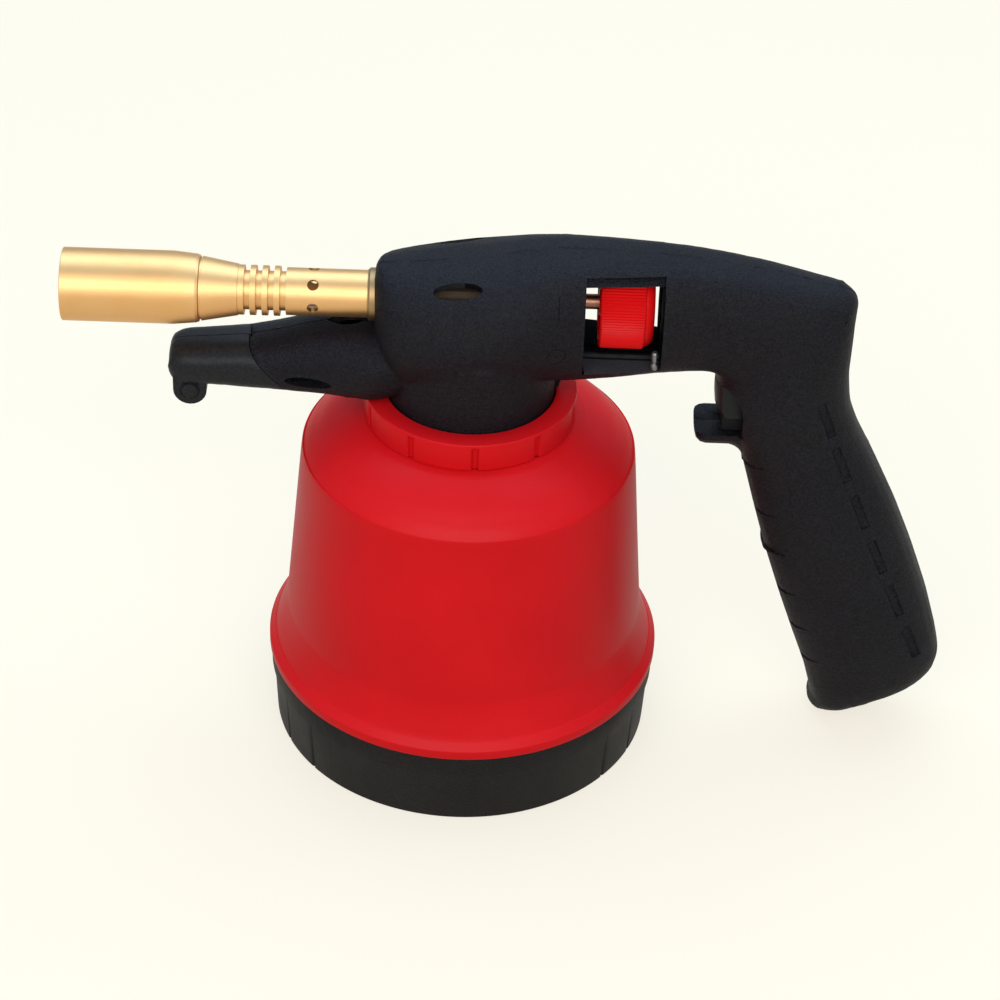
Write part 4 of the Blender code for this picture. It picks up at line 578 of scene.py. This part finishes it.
def mixing_tube(brass):
    fins = []
    for number in range(FIN_GROOVES):
        start = FIN_START + number * FIN_PITCH
        end = start + FIN_GROOVE_WIDTH
        fins += [(FIN_GROOVE_RADIUS, start), (FIN_GROOVE_RADIUS, end), (FIN_RADIUS, end),
                 (FIN_RADIUS, start + FIN_PITCH)]
    outer = [(TUBE_RADIUS, 0.0170), (TUBE_RADIUS, FIN_START), *fins, (0.0067, 0.0609),
             (0.0084, 0.0702), (0.0080, 0.0702), (0.0080, 0.07075), (0.0069, 0.07075),
             (0.0069, 0.0772)]
    inner = [(0.0059, 0.0772), (0.0041, 0.0608), (0.0041, FIN_START), (TUBE_BORE, 0.0432),
             (TUBE_BORE, 0.0170)]
    tools = []
    for number in range(3):
        turn = AIR_HOLE_TURN + number * math.pi / 3
        reach = Vector((0, -math.cos(turn), math.sin(turn))) * TUBE_RADIUS * 2
        middle = Vector((-AIR_HOLE_PLACE, 0, AXIS))
        tools.append(rod(middle - reach, middle + reach, AIR_HOLE_RADIUS, 40))
    tube = soften(carved(spun([*outer, *inner], 96, FORWARD), tools), 0.00013, 2)
    fit("mixing_tube", tube, brass, "torch", "brass", "burner_tube", smooth_degrees=12)


def flame_tube(brass):
    side = [(0.0071, 0.0708), (0.0086, 0.0708), (0.0089, 0.0716), (0.0092, 0.0745),
            (HEAD_RADIUS, 0.0778), (HEAD_RADIUS, HEAD_END), (HEAD_BORE, HEAD_END),
            (HEAD_BORE, 0.0790), (0.0071, 0.0778)]
    tube = soften(spun(side, 120, FORWARD), 0.0002, 3)
    fit("flame_tube", tube, brass, "torch", "brass", "burner_head", smooth_degrees=7)


def flame_holder(brass):
    """The drilled disc that steadies the flame, with the spark wire through its middle."""
    near, far = HOLDER_FACES
    rim = HEAD_BORE - 0.0003
    disc = spun([(0, near), (rim, near), (rim, far), (0, far)], 64, FORWARD)
    start = -near + TUBE_BORE
    end = -far - TUBE_BORE
    tools = []
    for number in range(HOLDER_HOLES):
        turn = math.tau * number / HOLDER_HOLES
        y = HOLDER_HOLE_CIRCLE * math.sin(turn)
        z = AXIS + HOLDER_HOLE_CIRCLE * math.cos(turn)
        tools.append(rod((start, y, z), (end, y, z), HOLDER_HOLE_RADIUS, 28))
    tools.append(rod((start, 0, AXIS), (end, 0, AXIS), HOLDER_BORE, 28))
    disc = soften(carved(disc, tools), 0.0002, 2)
    fit("flame_disc", disc, brass, "torch", "brass", "flame_holder")


def spark_ceramic():
    material, shader = finish("spark_ceramic", (0.78, 0.76, 0.69), 0.3)
    relief(material, shader, noise(material, 1500), 0.00002)
    shades = ((0.3, (0.72, 0.69, 0.60)), (0.7, (0.80, 0.78, 0.72)))
    stain = tones(material, noise(material, 200), shades)
    material.node_tree.links.new(stain, shader.inputs["Base Color"])
    return material


burner_brass = turned_brass("burner_brass", (0.87, 0.51, 0.215), (0.84, 0.455, 0.175), 0.44, ROUND_X)
burner_bush()
mixing_tube(burner_brass)
flame_tube(burner_brass)
flame_holder(burner_brass)
dress(steel, "electrode")
dress(spark_ceramic(), "electrode_insulator")


# Casing
# Two black glass-filled nylon halves, injection moulded with a fine grain and screwed together on
# the middle plane. They carry the valve, the igniter, the knob's window and the grip.

SEAM = 0.00015
SEAM_CLOSED_FROM = -0.0246
SEAM_LEFT = 0.02
CASING_EDGE = 0.00022
CASING_FLAT = math.radians(4)
CASING_CREASE = math.radians(50)
CASING_MESH = 0.0016
REST_AREA = ((0.0560, 0.0725), (0.0920, 0.1000))
REST_LEVEL = 0.0986
REST_DEPTH = 0.0048
REST_HALF_WIDTH = 0.0074
FILLET_START = 0.0669
FILLET_RADIUS = 0.0065
FILLET_END = 0.0745
LUG_X = -0.0736
LUG_Z = 0.1080
LUG_ROOM = 0.0052
# Each corner's middle (x, z), its reach and its shift
CORNERS = (((0.0989, 0.1431), 0.0450, (0.0006, 0, 0.0012)),
           ((0.0989, 0.1431), 0.0110, (0.0024, 0, 0.0003)),
           ((-0.0257, 0.1500), 0.0100, (-0.0021, 0, 0.0014)),
           ((-0.0250, 0.1400), 0.0200, (-0.0007, 0, 0)))
CROWN_HALF_WIDTH = 0.0110
GRIP_FOOT = 0.0215
FACING_UP = 0.9
# Within these areas the window's near sill gets painted light and the rest of the window's inside gets
# painted shade.
SILL_AREA = ((0.0290, 0.0520), (0.1200, 0.1220))
SILL_BACK = -0.0045
WINDOW_AREA = ((0.0285, 0.0490), (0.1209, 0.1487))
FINGER_GROOVE_PLACES = ((0.0738, 0.0895), (0.0779, 0.0738), (0.0822, 0.0608), (0.0868, 0.0475),
                        (0.0912, 0.0355), (0.0952, 0.0240))
FINGER_GROOVE_RISE = 0.30
FINGER_GROOVE_REACH = 0.0108
FINGER_GROOVE_RADIUS = 0.00062
MARK_RADIUS = 0.00022
BAR_START = (0.0218, 0.1372)
BAR_STEP = 0.0013
RING_MIDDLE = (0.0216, 0.1288)
RING_RADIUS = 0.0023
RING_STEPS = 28
DOT_RADIUS = 0.0004
VENT_SIZE = (0.00630, 0.00268)
VENT_PLACE = (-0.0040, 0.0125, 0.1447)
VENT_LEAN = math.radians(62)
VENT_DEPTH = 0.0078
LOW_VENT_SIZE = (0.00620, 0.00160)
LOW_VENT_PLACE = (-0.0425, 0, 0.1137)
LOW_VENT_DEPTH = 0.034


def copied(*nodes):
    """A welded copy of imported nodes."""
    bm = bmesh.new()
    for node in nodes:
        bm.from_mesh(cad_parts[node].data)
    bmesh.ops.remove_doubles(bm, verts=bm.verts, dist=WELD)
    bmesh.ops.dissolve_limit(bm, angle_limit=math.radians(0.5), verts=bm.verts, edges=bm.edges)
    bmesh.ops.triangulate(bm, faces=bm.faces)
    return bm


def refined(bm, skin, size, passes):
    """Cuts the long edges of the outer skin and turns its triangles until they are even."""
    for _ in range(passes):
        shown = [face for face in bm.faces if is_outer(face, skin)]
        long = {edge for face in shown for edge in face.edges if edge.calc_length() > size}
        bmesh.ops.subdivide_edges(bm, edges=list(long), cuts=1)
        bmesh.ops.triangulate(bm, faces=[face for face in bm.faces if len(face.verts) > 3])
        flat = [edge for edge in bm.edges if edge.is_manifold and edge.calc_face_angle() < CASING_FLAT]
        bmesh.ops.beautify_fill(bm, faces=bm.faces, edges=flat, method="ANGLE")
    return bm


def in_area(place, area):
    """True within an area of the side view, given as (from x, to x), (from z, to z)."""
    (start, end), (low, high) = area
    return start < place.x < end and low < place.z < high


def on_rest(place):
    """True on the finger rest, which keeps its own shape."""
    return in_area(place, REST_AREA)


def is_outer(face, skin):
    """True where nothing stands in front of a face, apart from the lug and the finger rest."""
    place = face.calc_center_median()
    if on_rest(place) or math.hypot(place.x - LUG_X, place.z - LUG_Z) < LUG_ROOM:
        return False
    return skin.ray_cast(place + face.normal * SEAM, face.normal)[0] is None


def relaxed(bm, skin, rounds):
    """Evens out the facets of the outer skin; creases stay and are only evened along their run."""
    outer = bm.verts.layers.int.new("outer")
    shown = {face for face in bm.faces if is_outer(face, skin)}
    for face in shown:
        for vert in face.verts:
            vert[outer] = 1
    near = {}
    for vert in bm.verts:
        if not any(face in shown for face in vert.link_faces):
            continue
        if abs(vert.co.y) < 2 * SEAM:
            near[vert] = [edge.other_vert(vert) for edge in vert.link_edges
                          if any(face in shown for face in edge.link_faces)]
            continue
        creased = [edge for edge in vert.link_edges
                   if edge.calc_face_angle(0) > CASING_CREASE and vert.co.z > GRIP_FOOT]
        if not creased:
            near[vert] = [edge.other_vert(vert) for edge in vert.link_edges]
        elif len(creased) == 2:
            first, last = (edge.other_vert(vert) for edge in creased)
            if (vert.co - first.co).angle(last.co - vert.co, math.pi) < CASING_CREASE:
                near[vert] = [first, last]
    for _ in range(rounds):
        moved = {vert: sum((other.co for other in others), Vector()) / len(others)
                 for vert, others in near.items()}
        for vert, place in moved.items():
            if abs(vert.co.y) < 2 * SEAM:
                place.y = vert.co.y
            vert.co = vert.co.lerp(place, 0.5)
    bm.normal_update()
    return bm


def swelled(bm):
    """Fills out the corners of the crown that the evening took back; the flanks stay."""
    outer = bm.verts.layers.int["outer"]
    shown = [vert for vert in bm.verts if vert[outer]]
    for (x, z), reach, shift in CORNERS:
        for vert in shown:
            share = 1 - math.hypot(vert.co.x - x, vert.co.z - z) / reach
            crown = 1 - (vert.co.y / CROWN_HALF_WIDTH) ** 2
            if share > 0 and crown > 0:
                vert.co += Vector(shift) * min(1, 2 * share) * share * crown
    return bm


def grown(steps, levels, place):
    """A closed form grown ring by ring; place(turn, level) gives each point of a ring."""
    bm = bmesh.new()
    turn = bm.verts.layers.float.new("turn")
    ring = bmesh.ops.create_circle(bm, cap_ends=True, segments=steps, radius=1)["verts"]
    for number, vert in enumerate(ring):
        vert[turn] = math.tau * number / steps
    edges = list(bm.edges)
    for number, level in enumerate(levels):
        if number:
            items = bmesh.ops.extrude_edge_only(bm, edges=edges)["geom"]
            ring = {item for item in items if isinstance(item, bmesh.types.BMVert)}
            edges = [item for item in items
                     if isinstance(item, bmesh.types.BMEdge) and ring.issuperset(item.verts)]
        for vert in ring:
            vert.co = place(vert[turn], level)
    bmesh.ops.edgeloop_fill(bm, edges=edges)
    bm.verts.layers.float.remove(turn)
    bmesh.ops.recalc_face_normals(bm, faces=bm.faces)
    return bm


def groove(points, radius, closed=False):
    """A fine round tool along a route on the skin, thinner towards its ends."""
    curve = bpy.data.curves.new("groove", "CURVE")
    curve.dimensions = "3D"
    curve.bevel_depth = radius
    curve.bevel_resolution = 2
    curve.use_fill_caps = True
    spline = curve.splines.new("POLY")
    spline.points.add(len(points) - 1)
    spline.use_cyclic_u = closed
    for number, (point, place) in enumerate(zip(spline.points, points)):
        point.co = (*place, 1)
        share = math.sin(math.pi * (number + 0.5) / len(points))
        point.radius = 1 if closed else max(0.25, min(1, 1.8 * share))
    route = bpy.data.objects.new("groove", curve)
    scene.collection.objects.link(route)
    bpy.context.view_layer.update()
    mesh = bpy.data.meshes.new_from_object(route.evaluated_get(bpy.context.evaluated_depsgraph_get()))
    bpy.data.objects.remove(route)
    bm = bmesh.new()
    bm.from_mesh(mesh)
    bpy.data.meshes.remove(mesh)
    bmesh.ops.remove_doubles(bm, verts=bm.verts, dist=WELD)
    bmesh.ops.recalc_face_normals(bm, faces=bm.faces)
    return bm


def finger_grooves(skin):
    """Shallow grooves round the front of the grip, square to it."""
    ahead = Vector((1, 0, FINGER_GROOVE_RISE)).normalized()
    tools = []
    for x, z in FINGER_GROOVE_PLACES:
        route = []
        for number in range(-9, 10):
            start = Vector((x, FINGER_GROOVE_REACH * number / 9, z)) - ahead * 0.02
            place = skin.ray_cast(start, ahead)[0]
            if place:
                route.append(place)
        tools.append(groove(route, FINGER_GROOVE_RADIUS))
    return tools


def window_marks(skin):
    """The moulded marks beside the knob: a bar for less gas and a ringed dot for more."""
    def on_flank(x, z):
        return skin.ray_cast(Vector((x, -0.06, z)), Vector((0, 1, 0)))[0]

    x, z = BAR_START
    bar = [on_flank(x, z + BAR_STEP * number) for number in range(7)]
    x, z = RING_MIDDLE
    ring = [on_flank(x + RING_RADIUS * math.sin(turn), z + RING_RADIUS * math.cos(turn))
            for turn in (math.tau * number / RING_STEPS for number in range(RING_STEPS))]
    dot = bmesh.new()
    bmesh.ops.create_uvsphere(dot, u_segments=12, v_segments=8, radius=DOT_RADIUS,
                              matrix=Matrix.Translation(on_flank(x, z)))
    return [groove(bar, MARK_RADIUS), groove(ring, MARK_RADIUS, True), dot]


def vent_tools():
    """Smooth ovals for the vents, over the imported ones."""
    def oval(place, turn, size, depth):
        bm = bmesh.new()
        bmesh.ops.create_cone(bm, cap_ends=True, segments=48, radius1=1, radius2=1, depth=depth,
                              matrix=Matrix.Translation(place) @ turn @ Matrix.Diagonal((*size, 1, 1)))
        return bm

    x, y, z = VENT_PLACE
    along = Vector((1, 0, 0))
    tools = []
    for side in (-1, 1):
        axis = Vector((0, side * math.cos(VENT_LEAN), math.sin(VENT_LEAN)))
        turn = Matrix((along, axis.cross(along), axis)).transposed().to_4x4()
        tools.append(oval((x, side * y, z), turn, VENT_SIZE, VENT_DEPTH))
    sideways = Matrix.Rotation(math.pi / 2, 4, "X")
    return [*tools, oval(LOW_VENT_PLACE, sideways, LOW_VENT_SIZE, LOW_VENT_DEPTH)]


def close_seam(bm):
    """Brings the halves together behind the nose, where the real seam can't be seen."""
    for vert in bm.verts:
        if is_closed(vert):
            vert.co.y *= SEAM_LEFT


def is_closed(vert):
    return abs(vert.co.y) < 1.3 * SEAM and vert.co.x > SEAM_CLOSED_FROM and not on_rest(vert.co)


def on_seam(edge):
    return any(is_closed(vert) for vert in edge.verts)


def seam_line(bm):
    """The ends of the outer edges of a half along the closed seam."""
    outer = bm.verts.layers.int["outer"]
    return [[Vector((vert.co.x, 0, vert.co.z)) for vert in edge.verts] for edge in bm.edges
            if all(vert[outer] and is_closed(vert) for vert in edge.verts)
            and any(abs(face.normal.y) < 0.9 for face in edge.link_faces)]


def matched(bm, line):
    """Brings the seam of one half onto the other's, so that no step shows between them."""
    outer = bm.verts.layers.int["outer"]
    for vert in bm.verts:
        if not (vert[outer] and is_closed(vert)):
            continue
        place = Vector((vert.co.x, 0, vert.co.z))
        feet = []
        for start, end in line:
            share = intersect_point_line(place, start, end)[1]
            feet.append(start.lerp(end, min(1, max(0, share))))
        nearest = min(feet, key=lambda foot: (foot - place).length)
        if (nearest - place).length < CASING_MESH:
            vert.co.x, vert.co.z = nearest.x, nearest.z
    return bm


def rest_fillet(side):
    """The hollow sweep from below the finger rest into the grip, on one side of the seam."""
    turns = [math.radians(9) * number for number in range(11)]
    levels = [(FILLET_START + FILLET_RADIUS * math.sin(turn),
               REST_DEPTH + FILLET_RADIUS * (1 - math.cos(turn))) for turn in turns]
    levels.append((FILLET_END, levels[-1][1]))

    def place(turn, level):
        x, depth = level
        rise = math.cos(turn) * (depth if math.cos(turn) < 0 else SEAM)
        return x, REST_HALF_WIDTH * math.sin(turn), REST_LEVEL + rise

    bm = grown(40, levels, place)
    bmesh.ops.bisect_plane(bm, geom=[*bm.verts, *bm.edges, *bm.faces], plane_co=(0, side * SEAM, 0),
                           plane_no=(0, 1, 0), clear_inner=side > 0, clear_outer=side < 0)
    bmesh.ops.edgeloop_fill(bm, edges=[edge for edge in bm.edges if edge.is_boundary])
    bmesh.ops.recalc_face_normals(bm, faces=bm.faces)
    return bm


def part_sill(bm):
    """Parts the window's floor behind the sill, so that the near side can take painted light and the
    far side painted shade.
    """
    floor = [face for face in bm.faces
             if in_area(face.calc_center_median(), SILL_AREA) and face.normal.z > FACING_UP]
    faces = set(floor)
    bounds = [item for item in (*bm.verts, *bm.edges) if not faces.isdisjoint(item.link_faces)]
    bmesh.ops.bisect_plane(bm, geom=[*bounds, *floor], plane_co=(0, SILL_BACK, 0),
                           plane_no=(0, 1, 0))


def coat(polygon):
    """The number of a face's material: the skin, the painted light on the window's near sill, or the
    painted shade on the window's inside.
    """
    place = polygon.center
    if place.y < SILL_BACK and in_area(place, SILL_AREA) and polygon.normal.z > FACING_UP:
        return 1
    slanting = 0.1 < abs(polygon.normal.y) < 0.98
    return 2 if in_area(place, WINDOW_AREA) and not slanting else 0


def painted_shade_black():
    """Painted shade for the window's inside: a near-black coat with almost no sheen, standing in for
    the shade that falls there.
    """
    material, shader = finish("painted_shade_black", (0.0012, 0.0010, 0.0012), 0.75, specular=0.02)
    relief(material, shader, noise(material, GRAIN, detail=1.0), 0.00004)
    patches = spread(material, noise(material, 300), 0.68, 0.82)
    material.node_tree.links.new(patches, shader.inputs["Roughness"])
    return material


def casing_half(name, node, side, skin, coats, line):
    half = swelled(relaxed(refined(copied(node), skin, CASING_MESH, 4), skin, 9))
    if line:
        matched(half, line)
    line = line or seam_line(half)
    half.verts.layers.int.remove(half.verts.layers.int["outer"])
    half = carved(half, [rest_fillet(side)], "UNION")
    half = carved(half, [*finger_grooves(skin), *window_marks(skin), *vent_tools()])
    close_seam(half)
    part_sill(half)
    soften(half, CASING_EDGE, 2, 50, lambda edge: on_seam(edge) or not edge.is_convex)
    piece = fit(name, half, coats[0], "torch", "black_plastic", node)
    for material in coats[1:]:
        piece.data.materials.append(material)
    for polygon in piece.data.polygons:
        polygon.material_index = coat(polygon)
    return line


casing_skin = BVHTree.FromBMesh(copied("casing_left", "casing_right"))
casing_black = black_moulding("casing_black", (0.0034, 0.0027, 0.0038), (0.0106, 0.0086, 0.0116),
                              0.50, GRAIN, 0.00030)
# Painted light: the window's near sill gets a lighter grey copy of the casing plastic, standing in for
# the light falling on it. The window's inside gets painted shade.
sill_painted_light = black_moulding("sill_painted_light", (0.036, 0.034, 0.037), (0.050, 0.048, 0.051),
                           0.45, GRAIN, 0.00004)
casing_coats = (casing_black, sill_painted_light, painted_shade_black())
seam_route = casing_half("left_half", "casing_left", -1, casing_skin, casing_coats, None)
casing_half("right_half", "casing_right", 1, casing_skin, casing_coats, seam_route)


# Nose cap
# Two smooth black mouldings on the nose's tip, held by one screw through the lug below it.

CAP_EDGE = 0.00028
LUG_BOSS = (-0.0070, -0.0082)
LUG_BOSS_RADIUS = 0.0021
FINE_GRAIN = 2400


def cap_half(name, node, skin, black):
    half = relaxed(refined(copied(node), skin, CASING_MESH, 3), skin, 10)
    half.verts.layers.int.remove(half.verts.layers.int["outer"])
    if name == "left_cap":
        start, end = ((LUG_X, y, LUG_Z) for y in LUG_BOSS)
        half = carved(half, [rod(start, end, LUG_BOSS_RADIUS, 40)], "UNION")
    soften(half, CAP_EDGE, 2, 50)
    fit(name, half, black, "torch", "cap_plastic", node)


cap_black = black_moulding("cap_black", (0.0120, 0.0118, 0.0125), (0.0190, 0.0185, 0.0195),
                           0.42, FINE_GRAIN, 0.00003)
cap_skin = BVHTree.FromBMesh(copied("nose_cap_left", "nose_cap_right"))
cap_half("left_cap", "nose_cap_left", cap_skin, cap_black)
cap_half("right_cap", "nose_cap_right", cap_skin, cap_black)


# Screws
# Plated self-tapping pan heads with a cross recess. They sit in wells in the right half.

SCREW_NODES = ["nose_cap_screw", *(f"casing_screw_{number}" for number in range(1, 8))]
SCREW_RADIUS = 0.00115
SCREW_HEAD = 0.0016
RECESS_DEPTH = 0.0018


def pan_screw(node, material):
    low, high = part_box(node)
    middle = (low + high) / 2
    head = (high.x - low.x) / 2
    crown = high.y
    rim = crown - SCREW_HEAD
    side = [(0, crown), (head * 0.45, crown), (head * 0.8, crown - 0.0003), (head, rim + 0.0004),
            (head, rim), (SCREW_RADIUS, rim), (SCREW_RADIUS, low.y + 0.0010), (0, low.y)]
    sideways = Matrix.Translation((middle.x, 0, middle.z)) @ Matrix.Rotation(-math.pi / 2, 4, "X")
    tools = []
    for turn in (0, math.pi / 2):
        blade = bmesh.new()
        bmesh.ops.create_cube(blade, size=1)
        bmesh.ops.scale(blade, vec=(head, head * 0.2, RECESS_DEPTH), verts=blade.verts)
        place = Matrix.Translation((0, 0, crown)) @ Matrix.Rotation(turn, 4, "Z")
        bmesh.ops.transform(blade, matrix=sideways @ place, verts=blade.verts)
        tools.append(blade)
    screw = soften(carved(spun(side, 32, sideways), tools), 0.00008, 1)
    fit(node.replace("screw", "pan_screw"), screw, material, "torch", "steel", node)


for screw_node in SCREW_NODES:
    pan_screw(screw_node, steel)


# Knob and spindle
# The knob is a red moulding with fine ribs round its rim and a plain tapered end. The brass
# spindle is turned, and its end is pressed into the knob.

REARWARD = Matrix.Translation((0, 0, AXIS)) @ Matrix.Rotation(math.pi / 2, 4, "Y")
KNOB_START = 0.0326
KNOB_END = 0.0467
KNOB_RIB_END = 0.0443
KNOB_RADIUS = 0.0119
KNOB_RIBS = 96
KNOB_RIB_DEPTH = 0.00032
SPINDLE_RADIUS = 0.0020


def knob_point(turn, level):
    """A point of the knob's skin; every second one lies between two ribs."""
    x, radius, depth = level
    radius -= depth * (round(turn * KNOB_RIBS / math.pi) % 2)
    return x, radius * math.sin(turn), AXIS + radius * math.cos(turn)


def control_knob():
    rim = KNOB_RADIUS
    knob = grown(2 * KNOB_RIBS, [
        (KNOB_START + 0.0087, 0.0023, 0), (KNOB_START, 0.0023, 0), (KNOB_START, 0.0034, 0),
        (KNOB_START + 0.0010, 0.0040, 0), (KNOB_START + 0.0010, 0.0092, 0), (KNOB_START, 0.0096, 0),
        (KNOB_START, rim - 0.0007, 0), (KNOB_START + 0.0003, rim - 0.0003, KNOB_RIB_DEPTH / 2),
        (KNOB_START + 0.0007, rim, KNOB_RIB_DEPTH), (KNOB_RIB_END - 0.0004, rim, KNOB_RIB_DEPTH),
        (KNOB_RIB_END, rim - 0.0003, KNOB_RIB_DEPTH / 2), (KNOB_RIB_END + 0.0001, rim - 0.0006, 0),
        (KNOB_RIB_END + 0.0009, rim - 0.0008, 0), (KNOB_END - 0.0006, 0.0104, 0),
        (KNOB_END - 0.0001, 0.0098, 0), (KNOB_END, 0.0092, 0), (KNOB_END, 0.0020, 0)], knob_point)
    knob_red = red_moulding("knob_red", (0.68, 0.0045, 0.0052), (0.76, 0.0060, 0.0068), 0.38)
    fit("knob", knob, knob_red, "knob", "knob_plastic", "control_knob", smooth_degrees=50)


def spindle():
    side = [(0, 0.0413), (SPINDLE_RADIUS, 0.0413), (SPINDLE_RADIUS, 0.0156), (0.0017, 0.0156),
            (0.0017, 0.0136), (SPINDLE_RADIUS, 0.0136), (SPINDLE_RADIUS, 0.0075), (0.0009, 0.0036),
            (0, 0.0036)]
    shaft = soften(spun(side, 40, REARWARD), 0.0001, 1)
    brass = turned_brass("spindle_brass", (0.55, 0.26, 0.17), (0.42, 0.19, 0.12), 0.40, ROUND_X)
    fit("spindle", shaft, brass, "knob", "brass", "valve_spindle")


control_knob()
spindle()


# Trigger and igniter
# The trigger is a smooth dark grey moulding that slides in the handle and pushes the plunger of a
# sealed piezo igniter behind it.

def igniter_case():
    material, shader = finish("igniter_case", (0.11, 0.11, 0.12), 0.42)
    relief(material, shader, noise(material, 1800), 0.00003)
    patches = spread(material, noise(material, 200), 0.36, 0.50)
    material.node_tree.links.new(patches, shader.inputs["Roughness"])
    return material


def trigger_button():
    button = soften(copied("trigger_button"), 0.0003, 2, 38)
    grey = black_moulding("trigger_grey", (0.0120, 0.0120, 0.0125), (0.0150, 0.0150, 0.0155),
                          0.46, FINE_GRAIN, 0.00003)
    fit("trigger", button, grey, "trigger", "trigger_plastic", "trigger_button")


trigger_button()
dress(igniter_case(), "piezo_body", "piezo_plunger")


# Lead and pin in the window
# A black sleeved lead runs over the window's floor to the burner's spark wire. A plated pin
# beside it earths the valve.

def lead_sleeve():
    material, shader = finish("lead_sleeve", (0.006, 0.006, 0.0065), 0.60, specular=0.15)
    relief(material, shader, noise(material, 1200), 0.00003)
    smear = spread(material, noise(material, 300), 0.52, 0.70)
    material.node_tree.links.new(smear, shader.inputs["Roughness"])
    return material


def terminal_pin():
    low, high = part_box("wire_terminal")
    middle = (low + high) / 2
    foot = low.z
    top = high.z
    side = [(0, top), (0.0006, top - 0.0001), (0.0009, top - 0.0005), (0.0009, foot + 0.0024),
            (0.00065, foot + 0.0021), (0.00065, foot + 0.0017), (0.0011, foot + 0.0014),
            (0.0011, foot), (0, foot)]
    pin = soften(spun(side, 32, Matrix.Translation((middle.x, middle.y, 0))), 0.00008, 2)
    dull = plated_steel("pin_steel", 0.24, 0.45)
    fit("pin", pin, dull, "torch", "steel", "wire_terminal")


dress(lead_sleeve(), "ignition_wire")
terminal_pin()
